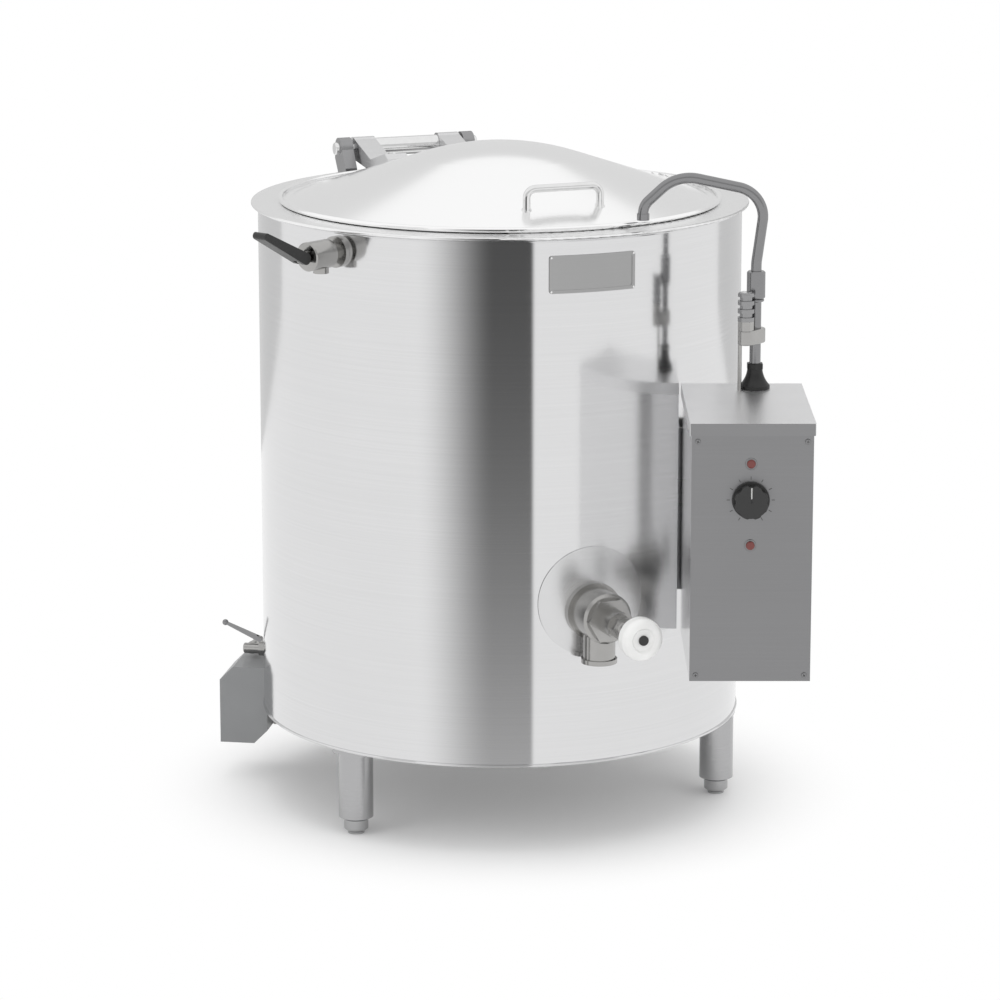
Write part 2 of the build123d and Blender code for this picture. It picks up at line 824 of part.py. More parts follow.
# Lid handle: bent rod welded to the cone on the service side
handle_plane = face_plane(service_azimuth, handle_distance, lid_bottom)
with BuildPart() as lid_handle:
    with BuildLine(handle_plane):
        FilletPolyline(
            (-handle_span / 2, 0),
            (-handle_span / 2, handle_rise),
            (handle_span / 2, handle_rise),
            (handle_span / 2, 0),
            radius=handle_bend,
        )
    with BuildSketch(Plane(origin=handle_plane.from_local_coords((-handle_span / 2, 0)), z_dir=(0, 0, 1))):
        Circle(handle_rod_radius)
    sweep()
    add(lid_envelope.part, mode=Mode.SUBTRACT)
lid_handle.part.label = "lid_handle"
export_step(lid_handle.part, "parts/lid_handle.step")

# Hinge brackets: two cheeks that stand on the shell behind the rim and carry the pin
cheek_centre = hinge_half_length - hinge_cheek / 2
with BuildPart() as hinge_brackets:
    for side in (-1, 1):
        with BuildSketch(section_plane(hinge_azimuth, 0, 0, side * cheek_centre)):
            with BuildLine():
                Polyline(
                    (vessel_outer, hinge_foot_bottom),
                    (shell_radius + hinge_foot_depth, hinge_foot_bottom),
                    (hinge_distance + hinge_eye_radius, hinge_height - hinge_eye_radius),
                    (hinge_distance + hinge_eye_radius, hinge_height),
                    (hinge_distance - hinge_eye_radius, hinge_height),
                    (rim_radius + hinge_foot_depth / 2, rim_height),
                    (rim_radius + hinge_foot_depth / 2, rim_height - 2 * rim_skirt_drop),
                    (vessel_outer, rim_height - 2 * rim_skirt_drop),
                    close=True,
                )
            make_face()
            with Locations((hinge_distance, hinge_height)):
                Circle(hinge_eye_radius)
                Circle(hinge_pin_radius, mode=Mode.SUBTRACT)
        extrude(amount=hinge_cheek / 2, both=True)
    with BuildSketch(Plane.XY.offset(hinge_foot_bottom)):
        Circle(shell_radius)
    extrude(amount=rim_height - hinge_foot_bottom, mode=Mode.SUBTRACT)
hinge_brackets.part.label = "hinge_brackets"
export_step(hinge_brackets.part, "parts/hinge_brackets.step")

# Hinge arms: from the pin over the rim and down on to the lid's cone
arm_centre = hinge_half_length - hinge_cheek - hinge_slot - hinge_arm_width / 2
arm_tip_height = lid_top + (lid_cone_radius - hinge_arm_reach) * lid_slope + hinge_arm_thickness
with BuildPart() as hinge_arms:
    for side in (-1, 1):
        with BuildSketch(section_plane(hinge_azimuth, 0, 0, side * arm_centre)):
            with BuildLine():
                Polyline(
                    (hinge_distance, hinge_height + hinge_eye_radius),
                    (lid_radius, lid_top + hinge_eye_radius),
                    (hinge_arm_reach + hinge_arm_thickness, arm_tip_height),
                    (hinge_arm_reach, arm_tip_height - hinge_arm_thickness / 2),
                    (hinge_arm_reach, lid_top),
                    (lid_radius + hinge_arm_thickness, lid_top),
                    (hinge_distance, hinge_height - hinge_eye_radius),
                    close=True,
                )
            make_face()
            with Locations((hinge_distance, hinge_height)):
                Circle(hinge_eye_radius)
                Circle(hinge_pin_radius + running_clearance, mode=Mode.SUBTRACT)
        extrude(amount=hinge_arm_width / 2, both=True)
    add(lid_envelope.part, mode=Mode.SUBTRACT)
hinge_arms.part.label = "hinge_arms"
export_step(hinge_arms.part, "parts/hinge_arms.step")

# Hinge pin: fixed in the brackets, with the lid's arms turning on it
with BuildPart() as hinge_pin:
    with BuildSketch(section_plane(hinge_azimuth, hinge_distance, hinge_height)):
        Circle(hinge_pin_radius)
    extrude(amount=hinge_half_length + hinge_pin_overhang, both=True)
hinge_pin.part.label = "hinge_pin"
export_step(hinge_pin.part, "parts/hinge_pin.step")

# Spring tube: closed housing of the counterbalance spring between the arms
spring_half_length = arm_centre - hinge_arm_width / 2 - clearance
with BuildPart() as spring_tube:
    with BuildSketch(section_plane(hinge_azimuth, hinge_distance, hinge_height)):
        Circle(spring_tube_radius)
        Circle(hinge_pin_radius, mode=Mode.SUBTRACT)
    extrude(amount=spring_half_length, both=True)
    with BuildSketch(section_plane(hinge_azimuth, hinge_distance, hinge_height)):
        Circle(spring_tube_radius - spring_tube_wall)
        Circle(hinge_pin_radius, mode=Mode.SUBTRACT)
    extrude(amount=spring_half_length - 2 * spring_tube_wall, both=True, mode=Mode.SUBTRACT)
spring_tube.part.label = "spring_tube"
export_step(spring_tube.part, "parts/spring_tube.step")

# Control box: folded tray, open at the front and at the top
box_centre = (box_front + box_back) / 2
pocket_depth = box_depth - box_wall
with BuildPart() as control_box:
    with BuildSketch(Plane.XY.offset(box_bottom)):
        with Locations((box_middle, box_centre + box_wall / 2)):
            Rectangle(box_width, box_depth - box_wall)
    extrude(amount=box_height - box_wall)
    with BuildSketch(Plane.XY.offset(box_bottom + box_wall)):
        with Locations((box_middle, box_centre - box_wall / 2)):
            Rectangle(box_width - 2 * box_wall, pocket_depth)
    extrude(amount=box_height, mode=Mode.SUBTRACT)
    with BuildSketch(Plane.XY.offset(box_bottom)):
        with Locations((faucet_x, faucet_y)):
            Circle(inlet_shank_radius)
    extrude(amount=box_wall, mode=Mode.SUBTRACT)
control_box.part.label = "control_box"
export_step(control_box.part, "parts/control_box.step")

# Box hood: top cap whose skirt laps over the front and the two sides
with BuildPart() as box_hood:
    with BuildSketch(Plane.XY.offset(box_top - hood_skirt)):
        with Locations((box_middle, box_centre - hood_overhang / 2)):
            Rectangle(box_width + 2 * hood_overhang, box_depth + hood_overhang)
    extrude(amount=hood_skirt)
    fillet(box_hood.edges().filter_by(Axis.Z).sort_by(Axis.Y)[:2], box_corner)
    with BuildSketch(Plane.XY.offset(box_top - hood_skirt)):
        with Locations((box_middle, box_centre)):
            Rectangle(box_width, box_depth)
    extrude(amount=hood_skirt - box_wall, mode=Mode.SUBTRACT)
    with BuildSketch(Plane.XY.offset(box_top - box_wall)):
        with Locations((faucet_x, faucet_y)):
            Circle(riser_radius)
    extrude(amount=box_wall, mode=Mode.SUBTRACT)
box_hood.part.label = "box_hood"
export_step(box_hood.part, "parts/box_hood.step")

# Control cover: front panel with a fold inside the tray and holes for the controls
front_plane = Plane(origin=(0, box_front, 0), x_dir=(1, 0, 0), z_dir=(0, -1, 0))
cover_height = box_height - box_wall
with BuildPart() as control_cover:
    with BuildSketch(front_plane):
        with Locations((box_middle, box_bottom + cover_height / 2)):
            Rectangle(box_width, cover_height)
    extrude(amount=-box_wall)
    with BuildSketch(front_plane.offset(-box_wall)):
        with Locations((box_middle, box_bottom + cover_height / 2)):
            Rectangle(box_width - 2 * box_wall, cover_height - 2 * box_wall)
            Rectangle(box_width - 4 * box_wall, cover_height - 4 * box_wall, mode=Mode.SUBTRACT)
    extrude(amount=-cover_fold)
    with BuildSketch(front_plane):
        with Locations((dial_x, dial_height)):
            Circle(dial_hole_radius)
        with Locations(*[(dial_x, height) for height in lens_heights.values()]):
            Circle(lens_stem_radius)
    extrude(amount=-box_wall, mode=Mode.SUBTRACT)
control_cover.part.label = "control_cover"
export_step(control_cover.part, "parts/control_cover.step")

# Cover screws: one near each corner of the front cover
screw_rows = (box_bottom + screw_inset, box_top - hood_skirt - screw_inset)
screw_columns = (box_left + screw_inset, box_right - screw_inset)
with BuildPart() as cover_screws:
    with BuildSketch(front_plane):
        with Locations(*[(column, row) for column in screw_columns for row in screw_rows]):
            Circle(screw_radius)
    extrude(amount=screw_head)
    fillet(cover_screws.faces().sort_by(Axis.Y)[:4].edges(), screw_head / 2)
cover_screws.part.label = "cover_screws"
export_step(cover_screws.part, "parts/cover_screws.step")

# Mounting channel: carries the box off the shell and hides the wiring
channel_left = box_left + channel_inset
channel_depth = shell_radius
with BuildPart() as mounting_channel:
    with BuildSketch(Plane.XY.offset(channel_bottom)):
        with Locations((channel_left, box_back)):
            Rectangle(channel_width, channel_depth, align=(Align.MIN, Align.MIN))
        Circle(shell_radius, mode=Mode.SUBTRACT)
        with Locations((channel_left, 0)):
            Rectangle(channel_width, channel_depth, align=(Align.MIN, Align.MIN), mode=Mode.SUBTRACT)
    extrude(amount=channel_height)
    with BuildSketch(Plane.XY.offset(channel_bottom)):
        with Locations((channel_left + channel_wall, box_back + channel_wall)):
            Rectangle(channel_width - 2 * channel_wall, channel_depth, align=(Align.MIN, Align.MIN))
        Circle(shell_radius + channel_wall, mode=Mode.SUBTRACT)
        with Locations((channel_left, 0)):
            Rectangle(channel_width, channel_depth, align=(Align.MIN, Align.MIN), mode=Mode.SUBTRACT)
    extrude(amount=channel_height, mode=Mode.SUBTRACT)
mounting_channel.part.label = "mounting_channel"
export_step(mounting_channel.part, "parts/mounting_channel.step")

# Indicator lights: domed lenses on threaded stems
with BuildPart() as indicator_lights:
    with BuildSketch(front_plane):
        with Locations(*[(dial_x, height) for height in lens_heights.values()]):
            Circle(lens_radius)
    extrude(amount=lens_length)
    fillet(indicator_lights.faces().sort_by(Axis.Y)[:2].edges(), lens_round)
    with BuildSketch(front_plane):
        with Locations(*[(dial_x, height) for height in lens_heights.values()]):
            Circle(lens_stem_radius)
    extrude(amount=-lens_stem_length)
indicator_lights.part.label = "indicator_lights"
export_step(indicator_lights.part, "parts/indicator_lights.step")

# Thermostat body behind the cover, with its shaft through it
with BuildPart() as thermostat_body:
    with BuildSketch(front_plane.offset(-box_wall)):
        with Locations((dial_x, dial_height)):
            Rectangle(thermostat_size[0], thermostat_size[2])
    extrude(amount=-thermostat_size[1])
    with BuildSketch(front_plane.offset(-box_wall)):
        with Locations((dial_x, dial_height)):
            Circle(dial_shaft_radius)
    extrude(amount=dial_shaft_length)
thermostat_body.part.label = "thermostat_body"
export_step(thermostat_body.part, "parts/thermostat_body.step")

# Thermostat dial: skirted knob with finger flutes and a pointer groove
dial_plane = front_plane.offset(clearance)
flute_distance = dial_radius + dial_flute_radius - dial_flute_depth
with BuildPart() as thermostat_dial:
    with BuildSketch(dial_plane):
        with Locations((dial_x, dial_height)):
            Circle(dial_skirt_radius)
    extrude(amount=dial_skirt_length)
    with BuildSketch(dial_plane.offset(dial_skirt_length)):
        with Locations((dial_x, dial_height)):
            Circle(dial_radius)
            with PolarLocations(flute_distance, dial_flute_count):
                Circle(dial_flute_radius, mode=Mode.SUBTRACT)
    extrude(amount=dial_length - dial_skirt_length)
    chamfer(thermostat_dial.faces().sort_by(Axis.Y)[0].edges(), dial_chamfer)
    with BuildSketch(dial_plane.offset(dial_length - pointer_depth)):
        with Locations((dial_x, dial_height + dial_radius / 2)):
            Rectangle(pointer_width, dial_radius)
    extrude(amount=pointer_depth, mode=Mode.SUBTRACT)
    with BuildSketch(dial_plane):
        with Locations((dial_x, dial_height)):
            Circle(dial_shaft_radius + running_clearance)
    extrude(amount=dial_shaft_length, mode=Mode.SUBTRACT)
thermostat_dial.part.label = "thermostat_dial"
export_step(thermostat_dial.part, "parts/thermostat_dial.step")

# Contactor on the back wall of the box
back_plane = Plane(origin=(0, box_back - box_wall, 0), x_dir=(1, 0, 0), z_dir=(0, -1, 0))
with BuildPart() as contactor:
    with BuildSketch(back_plane):
        with Locations((contactor_x, contactor_height + contactor_size[2] / 2)):
            Rectangle(contactor_size[0], contactor_size[2])
    extrude(amount=contactor_size[1] / 2)
    with BuildSketch(back_plane.offset(contactor_size[1] / 2)):
        with Locations((contactor_x, contactor_height + contactor_size[2] / 2)):
            Rectangle(contactor_size[0], contactor_size[2] / 2)
    extrude(amount=contactor_size[1] / 2)
contactor.part.label = "contactor"
export_step(contactor.part, "parts/contactor.step")

# Terminal block under the contactor
with BuildPart() as terminal_block:
    with BuildSketch(back_plane):
        with Locations((box_middle, terminal_height)):
            Rectangle(terminal_size[0], terminal_size[2])
    extrude(amount=terminal_size[1])
    with BuildSketch(back_plane.offset(terminal_size[1] / 2)):
        with Locations((box_middle, terminal_height)):
            with GridLocations(terminal_pitch, 0, terminal_slots, 1):
                Rectangle(terminal_slot_width, terminal_size[2])
    extrude(amount=terminal_size[1] / 2, mode=Mode.SUBTRACT)
terminal_block.part.label = "terminal_block"
export_step(terminal_block.part, "parts/terminal_block.step")

# Faucet base: flared foot on the hood
with BuildPart() as faucet_base:
    with BuildSketch(Plane(origin=(faucet_x, faucet_y, box_top), x_dir=(1, 0, 0), z_dir=(0, -1, 0))):
        with BuildLine():
            Line((riser_radius, 0), (faucet_base_radius, 0))
            Line((faucet_base_radius, 0), (faucet_base_radius, faucet_base_foot))
            ThreePointArc(
                (faucet_base_radius, faucet_base_foot),
                ((faucet_base_radius + riser_radius) / 2, faucet_base_height / 2),
                (faucet_base_neck, faucet_base_height),
            )
            Line((faucet_base_neck, faucet_base_height), (riser_radius, faucet_base_height))
            Line((riser_radius, faucet_base_height), (riser_radius, 0))
        make_face()
    revolve(axis=Axis((faucet_x, faucet_y, 0), (0, 0, 1)))
faucet_base.part.label = "faucet_base"
export_step(faucet_base.part, "parts/faucet_base.step")

# Faucet riser: upright tube through the hood
riser_bottom = box_top - faucet_base_height
with BuildPart() as faucet_riser:
    with BuildSketch(Plane(origin=(faucet_x, faucet_y, riser_bottom))):
        Circle(riser_radius)
        Circle(riser_radius - spout_wall, mode=Mode.SUBTRACT)
    extrude(amount=riser_top - riser_bottom)
faucet_riser.part.label = "faucet_riser"
export_step(faucet_riser.part, "parts/faucet_riser.step")

# Water inlet: threaded nipple under the box and the pipe up to the riser
with BuildPart() as water_inlet:
    with BuildSketch(Plane(origin=(faucet_x, faucet_y, box_bottom - inlet_length))):
        Circle(inlet_radius)
    extrude(amount=inlet_length)
    with BuildSketch(Plane(origin=(faucet_x, faucet_y, box_bottom))):
        Circle(inlet_shank_radius)
    extrude(amount=box_wall)
    with BuildSketch(Plane(origin=(faucet_x, faucet_y, box_bottom + box_wall))):
        RegularPolygon(inlet_hex, 6)
    extrude(amount=inlet_radius)
    with BuildSketch(Plane(origin=(faucet_x, faucet_y, box_bottom))):
        Circle(pipe_radius)
    extrude(amount=riser_bottom - box_bottom)
    with BuildSketch(Plane(origin=(faucet_x, faucet_y, box_bottom - inlet_length))):
        Circle(pipe_radius - spout_wall)
    extrude(amount=riser_bottom - box_bottom + inlet_length, mode=Mode.SUBTRACT)
water_inlet.part.label = "water_inlet"
export_step(water_inlet.part, "parts/water_inlet.step")

# Faucet body: cast block round the riser with a bonnet, a spindle and its supply tube
body_top = faucet_body_bottom + faucet_body_height
bonnet_top = body_top + faucet_bonnet_height
valve_spot = (faucet_x + faucet_valve_offset[0], faucet_y + faucet_valve_offset[1])
tube_spot = (faucet_x + supply_tube_offset[0], faucet_y + supply_tube_offset[1])
with BuildPart() as faucet_body:
    with BuildSketch(Plane.XY.offset(faucet_body_bottom)):
        with Locations((faucet_x, faucet_y)):
            Circle(faucet_body_radius)
        with Locations(valve_spot):
            Circle(faucet_valve_radius)
        make_hull()
    extrude(amount=faucet_body_height)
    fillet(faucet_body.edges().filter_by(Plane.XY), faucet_body_edge)
    with BuildSketch(Plane(origin=(*valve_spot, body_top))):
        RegularPolygon(faucet_valve_radius, 6)
    extrude(amount=faucet_bonnet_height)
    with BuildSketch(Plane(origin=(*valve_spot, bonnet_top))):
        Circle(spindle_radius)
    extrude(amount=spindle_length)
    with BuildSketch(Plane(origin=(*tube_spot, box_top))):
        Circle(supply_tube_radius)
    extrude(amount=body_top - box_top - faucet_body_height / 2)
    with BuildSketch(Plane(origin=(faucet_x, faucet_y, faucet_body_bottom))):
        Circle(riser_radius)
    extrude(amount=faucet_body_height, mode=Mode.SUBTRACT)
faucet_body.part.label = "faucet_body"
export_step(faucet_body.part, "parts/faucet_body.step")

# Faucet handle: ribbed upright knob on the spindle
handle_bottom = bonnet_top + clearance
rib_pitch = faucet_handle_height / (2 * faucet_handle_grooves + 1)
with BuildPart() as faucet_handle:
    with BuildSketch(Plane(origin=(*valve_spot, handle_bottom))):
        Circle(faucet_handle_radius)
    extrude(amount=faucet_handle_height)
    for groove in range(faucet_handle_grooves):
        groove_bottom = handle_bottom + (2 * groove + 1) * rib_pitch
        with BuildSketch(Plane(origin=(*valve_spot, groove_bottom))):
            Circle(faucet_handle_radius)
            Circle(faucet_handle_radius - rib_pitch / 2, mode=Mode.SUBTRACT)
        extrude(amount=rib_pitch, mode=Mode.SUBTRACT)
    fillet(faucet_handle.edges().filter_by(GeomType.CIRCLE).sort_by(Axis.Z)[-1], faucet_handle_edge)
    with BuildSketch(Plane(origin=(*valve_spot, handle_bottom))):
        Circle(spindle_radius + running_clearance)
    extrude(amount=spindle_length, mode=Mode.SUBTRACT)
faucet_handle.part.label = "faucet_handle"
export_step(faucet_handle.part, "parts/faucet_handle.step")

# Swivel nut: holds the spout's foot over the riser's end
with BuildPart() as swivel_nut:
    with BuildSketch(Plane(origin=(faucet_x, faucet_y, swivel_bottom))):
        Circle(swivel_radius)
    extrude(amount=swivel_height)
    chamfer(swivel_nut.edges().filter_by(GeomType.CIRCLE), swivel_edge)
    with BuildSketch(Plane(origin=(faucet_x, faucet_y, swivel_bottom))):
        Circle(riser_radius)
    extrude(amount=riser_top - swivel_bottom, mode=Mode.SUBTRACT)
    with BuildSketch(Plane(origin=(faucet_x, faucet_y, riser_top))):
        Circle(spout_radius + running_clearance)
    extrude(amount=swivel_height, mode=Mode.SUBTRACT)
swivel_nut.part.label = "swivel_nut"
export_step(swivel_nut.part, "parts/swivel_nut.step")

# Spout: bent tube that turns in the swivel nut
spout_foot = riser_top + clearance
spout_plane = Plane(
    origin=(faucet_x, faucet_y, 0), x_dir=outward(spout_azimuth), z_dir=-sideways(spout_azimuth)
)
with BuildPart() as spout:
    with BuildLine(spout_plane):
        FilletPolyline(
            (0, spout_foot),
            (0, spout_neck_height),
            (-spout_lean, spout_shoulder_height),
            (spout_crown_reach, spout_crown_height),
            (spout_reach, spout_drop_height),
            (spout_reach, spout_tip_height),
            radius=[spout_neck_bend, spout_shoulder_bend, spout_crown_bend, spout_tip_bend],
        )
    with BuildSketch(Plane(origin=(faucet_x, faucet_y, spout_foot))):
        Circle(spout_radius)
        Circle(spout_radius - spout_wall, mode=Mode.SUBTRACT)
    sweep()
spout.part.label = "spout"
export_step(spout.part, "parts/spout.step")

# Spout nozzle: collar round the spout's end
tip_spot = Vector(faucet_x, faucet_y, 0) + outward(spout_azimuth) * spout_reach
with BuildPart() as spout_nozzle:
    with BuildSketch(Plane(origin=(tip_spot.X, tip_spot.Y, spout_tip_height))):
        Circle(nozzle_radius)
        Circle(spout_radius, mode=Mode.SUBTRACT)
    extrude(amount=nozzle_length)
spout_nozzle.part.label = "spout_nozzle"
export_step(spout_nozzle.part, "parts/spout_nozzle.step")

# Vent pipe: from the top of the jacket up between vessel and insulation, then out
vent_plane = section_plane(vent_azimuth)
with BuildPart() as vent_pipe:
    with BuildLine(vent_plane):
        FilletPolyline(
            (vent_pipe_distance, jacket_top),
            (vent_pipe_distance, vent_height),
            (vent_body_start, vent_height),
            radius=vent_pipe_bend,
        )
    with BuildSketch(Plane(origin=vent_plane.from_local_coords((vent_pipe_distance, jacket_top)))):
        Circle(vent_pipe_radius)
        Circle(vent_pipe_radius - jacket_wall / 2, mode=Mode.SUBTRACT)
    sweep()
vent_pipe.part.label = "vent_pipe"
export_step(vent_pipe.part, "parts/vent_pipe.step")

# Vent valve: flange on the shell, round body, a spout below and a lug for the lever
vent_body_end = vent_body_start + vent_body_length
vent_spout_spot = outward(vent_azimuth) * vent_spout_distance
with BuildPart() as vent_valve:
    with BuildSketch(section_plane(vent_azimuth, 0, vent_height)):
        with BuildLine():
            Polyline(
                (vessel_radius, 0),
                (vessel_radius, vent_flange_radius),
                (shell_radius + vent_flange_length, vent_flange_radius),
                (shell_radius + vent_flange_length, vent_neck_radius),
                (vent_body_start, vent_neck_radius),
                (vent_body_start, vent_body_radius),
                (vent_body_end - vent_edge, vent_body_radius),
                (vent_body_end, vent_body_radius - vent_edge),
                (vent_body_end, 0),
                close=True,
            )
        make_face()
    revolve(axis=outward_axis(vent_azimuth, vent_height))
    with BuildSketch(Plane(origin=(vent_spout_spot.X, vent_spout_spot.Y, vent_height - vent_spout_drop))):
        Circle(vent_spout_radius)
    extrude(amount=vent_spout_drop)
    with BuildSketch(section_plane(vent_azimuth)):
        with Locations((vent_pivot_distance, vent_height)):
            Circle(2 * vent_pivot_radius)
        with Locations((vent_body_end, vent_height)):
            Rectangle(
                vent_pivot_distance - vent_body_end, 4 * vent_pivot_radius, align=(Align.MIN, Align.CENTER)
            )
        with Locations((vent_pivot_distance, vent_height)):
            Circle(vent_pivot_radius + running_clearance, mode=Mode.SUBTRACT)
    extrude(amount=vent_lug_width / 2, both=True)
    with BuildSketch(face_plane(vent_azimuth, vessel_radius, vent_height)):
        Circle(vent_pipe_radius)
    extrude(amount=vent_body_start - vessel_radius, mode=Mode.SUBTRACT)
    with BuildSketch(Plane(origin=(vent_spout_spot.X, vent_spout_spot.Y, vent_height - vent_spout_drop))):
        Circle(vent_spout_radius / 2)
    extrude(amount=vent_spout_drop / 2, mode=Mode.SUBTRACT)
    with BuildSketch(Plane.XY.offset(hinge_foot_bottom)):
        Circle(shell_radius)
    extrude(amount=rim_height - hinge_foot_bottom, mode=Mode.SUBTRACT)
vent_valve.part.label = "vent_valve"
export_step(vent_valve.part, "parts/vent_valve.step")

# Vent lever: tapered grip, forked over the lug and turning with its pin
vent_tip_angle = math.radians(vent_lever_angle)
vent_tip = (
    vent_pivot_distance + vent_lever_length * math.cos(vent_tip_angle),
    vent_height + vent_lever_length * math.sin(vent_tip_angle),
)
with BuildPart() as vent_lever:
    with BuildSketch(section_plane(vent_azimuth)):
        with Locations((vent_pivot_distance, vent_height)):
            Circle(vent_lever_start)
        with Locations(vent_tip):
            Circle(vent_lever_end)
        make_hull()
    extrude(amount=vent_lever_width / 2, both=True)
    with BuildSketch(section_plane(vent_azimuth)):
        with Locations((vent_pivot_distance, vent_height)):
            Circle(vent_lever_start + vent_lever_end)
    extrude(amount=vent_lug_width / 2 + clearance, both=True, mode=Mode.SUBTRACT)
    with BuildSketch(section_plane(vent_azimuth)):
        with Locations((vent_pivot_distance, vent_height)):
            Circle(vent_pivot_radius)
    extrude(amount=vent_lever_width / 2, both=True)
vent_lever.part.label = "vent_lever"
export_step(vent_lever.part, "parts/vent_lever.step")

# Relief pipe: from the jacket down inside the shell and out through it
relief_plane = section_plane(relief_azimuth)
relief_pipe_start = math.sqrt(jacket_inner**2 - (bowl_centre - relief_pipe_takeoff) ** 2)
relief_pipe_end = (shell_radius + relief_hex_end) / 2
with BuildPart() as relief_pipe:
    with BuildLine(relief_plane):
        FilletPolyline(
            (relief_pipe_start, relief_pipe_takeoff),
            (relief_pipe_distance, relief_pipe_takeoff),
            (relief_pipe_distance, relief_height),
            (relief_pipe_end, relief_height),
            radius=relief_pipe_bend,
        )
    with BuildSketch(face_plane(relief_azimuth, relief_pipe_start, relief_pipe_takeoff)):
        Circle(relief_pipe_radius)
        Circle(relief_pipe_radius - jacket_wall / 2, mode=Mode.SUBTRACT)
    sweep()
relief_pipe.part.label = "relief_pipe"
export_step(relief_pipe.part, "parts/relief_pipe.step")

# Relief valve: hexagon on the pipe, round body, outlet to the rear and a lug for the lever
relief_pivot = (relief_pivot_distance, relief_height + relief_pivot_rise)
with BuildPart() as relief_valve:
    with BuildSketch(face_plane(relief_azimuth, relief_hex_end, relief_height)):
        Circle(relief_body_radius)
    extrude(amount=relief_body_length)
    body_rims = relief_valve.edges().filter_by(GeomType.CIRCLE)
    chamfer(body_rims.sort_by(outward_axis(relief_azimuth, 0))[-1], relief_body_edge)
    with BuildSketch(face_plane(relief_azimuth, vessel_radius, relief_height)):
        RegularPolygon(relief_hex, 6)
    extrude(amount=relief_hex_end - vessel_radius)
    with BuildSketch(section_plane(relief_azimuth)):
        with Locations((relief_outlet_distance, relief_height)):
            Circle(relief_collar_radius)
    extrude(amount=relief_collar_length)
    with BuildSketch(section_plane(relief_azimuth).offset(relief_collar_length)):
        with Locations((relief_outlet_distance, relief_height)):
            Circle(relief_outlet_radius)
    extrude(amount=relief_outlet_length)
    with BuildSketch(section_plane(relief_azimuth)):
        with Locations(relief_pivot):
            Circle(relief_lug_radius)
        with Locations((relief_pivot_distance, relief_height)):
            Rectangle(2 * relief_lug_radius, relief_pivot_rise, align=(Align.CENTER, Align.MIN))
        with Locations(relief_pivot):
            Circle(relief_pin_radius + running_clearance, mode=Mode.SUBTRACT)
    extrude(amount=relief_pin_radius, both=True)
    with BuildSketch(face_plane(relief_azimuth, vessel_radius, relief_height)):
        Circle(relief_pipe_radius)
    extrude(amount=relief_pipe_end - vessel_radius, mode=Mode.SUBTRACT)
    with BuildSketch(section_plane(relief_azimuth).offset(relief_collar_length)):
        with Locations((relief_outlet_distance, relief_height)):
            Circle(relief_outlet_bore)
    extrude(amount=relief_outlet_length, mode=Mode.SUBTRACT)
    with BuildSketch(Plane.XY.offset(shell_bottom)):
        Circle(shell_radius)
    extrude(amount=rim_height - shell_bottom, mode=Mode.SUBTRACT)
relief_valve.part.label = "relief_valve"
export_step(relief_valve.part, "parts/relief_valve.step")

# Relief lever: thin try lever with a ball at its end, forked over the lug
relief_angle = math.radians(relief_lever_angle)
relief_tip = (
    relief_pivot[0] + relief_lever_length * math.cos(relief_angle),
    relief_pivot[1] + relief_lever_length * math.sin(relief_angle),
)
with BuildPart() as relief_lever:
    with BuildSketch(section_plane(relief_azimuth)):
        with Locations(relief_pivot):
            Circle(relief_lever_width / 2)
        with Locations(relief_tip):
            Circle(relief_lever_thickness / 2)
        make_hull()
    extrude(amount=relief_lever_width / 2, both=True)
    with BuildSketch(section_plane(relief_azimuth)):
        with Locations(relief_pivot):
            Circle(relief_lever_width)
    extrude(amount=relief_pin_radius + clearance, both=True, mode=Mode.SUBTRACT)
    with BuildSketch(section_plane(relief_azimuth)):
        with Locations(relief_pivot):
            Circle(relief_pin_radius)
    extrude(amount=relief_lever_width / 2, both=True)
    with Locations(section_plane(relief_azimuth, relief_tip[0], relief_tip[1])):
        Sphere(relief_ball_radius)
relief_lever.part.label = "relief_lever"
export_step(relief_lever.part, "parts/relief_lever.step")

# Junction box: hollow housing with a chamfered top, open at the rear, with a cable entry
junction_outline = [
    (junction_inner, junction_top),
    (junction_outer - junction_chamfer, junction_top),
    (junction_outer, junction_top - junction_chamfer),
    (junction_outer, junction_bottom),
    (junction_inner + junction_chamfer, junction_bottom),
    (junction_inner, junction_bottom + junction_chamfer),
]
junction_pocket = [
    (shell_radius + junction_wall, junction_top - junction_wall),
    (junction_outer - junction_chamfer - junction_wall / 2, junction_top - junction_wall),
    (junction_outer - junction_wall, junction_top - junction_chamfer - junction_wall / 2),
    (junction_outer - junction_wall, junction_bottom + junction_wall),
    (junction_inner + junction_chamfer + junction_wall / 2, junction_bottom + junction_wall),
    (shell_radius + junction_wall, junction_bottom + junction_chamfer),
]
entry_spot = outward(junction_azimuth) * entry_distance
with BuildPart() as junction_box:
    with BuildSketch(section_plane(junction_azimuth)):
        with BuildLine():
            Polyline(*junction_outline, close=True)
        make_face()
    extrude(amount=junction_width / 2, both=True)
    with BuildSketch(section_plane(junction_azimuth, 0, 0, junction_width / 2 - junction_wall)):
        with BuildLine():
            Polyline(*junction_pocket, close=True)
        make_face()
    extrude(amount=junction_width, mode=Mode.SUBTRACT)
    with BuildSketch(Plane(origin=(entry_spot.X, entry_spot.Y, junction_bottom))):
        Circle(entry_radius)
    extrude(amount=junction_wall, mode=Mode.SUBTRACT)
    with BuildSketch(Plane.XY.offset(shell_bottom)):
        Circle(shell_radius)
    extrude(amount=junction_top - shell_bottom, mode=Mode.SUBTRACT)
junction_box.part.label = "junction_box"
export_step(junction_box.part, "parts/junction_box.step")

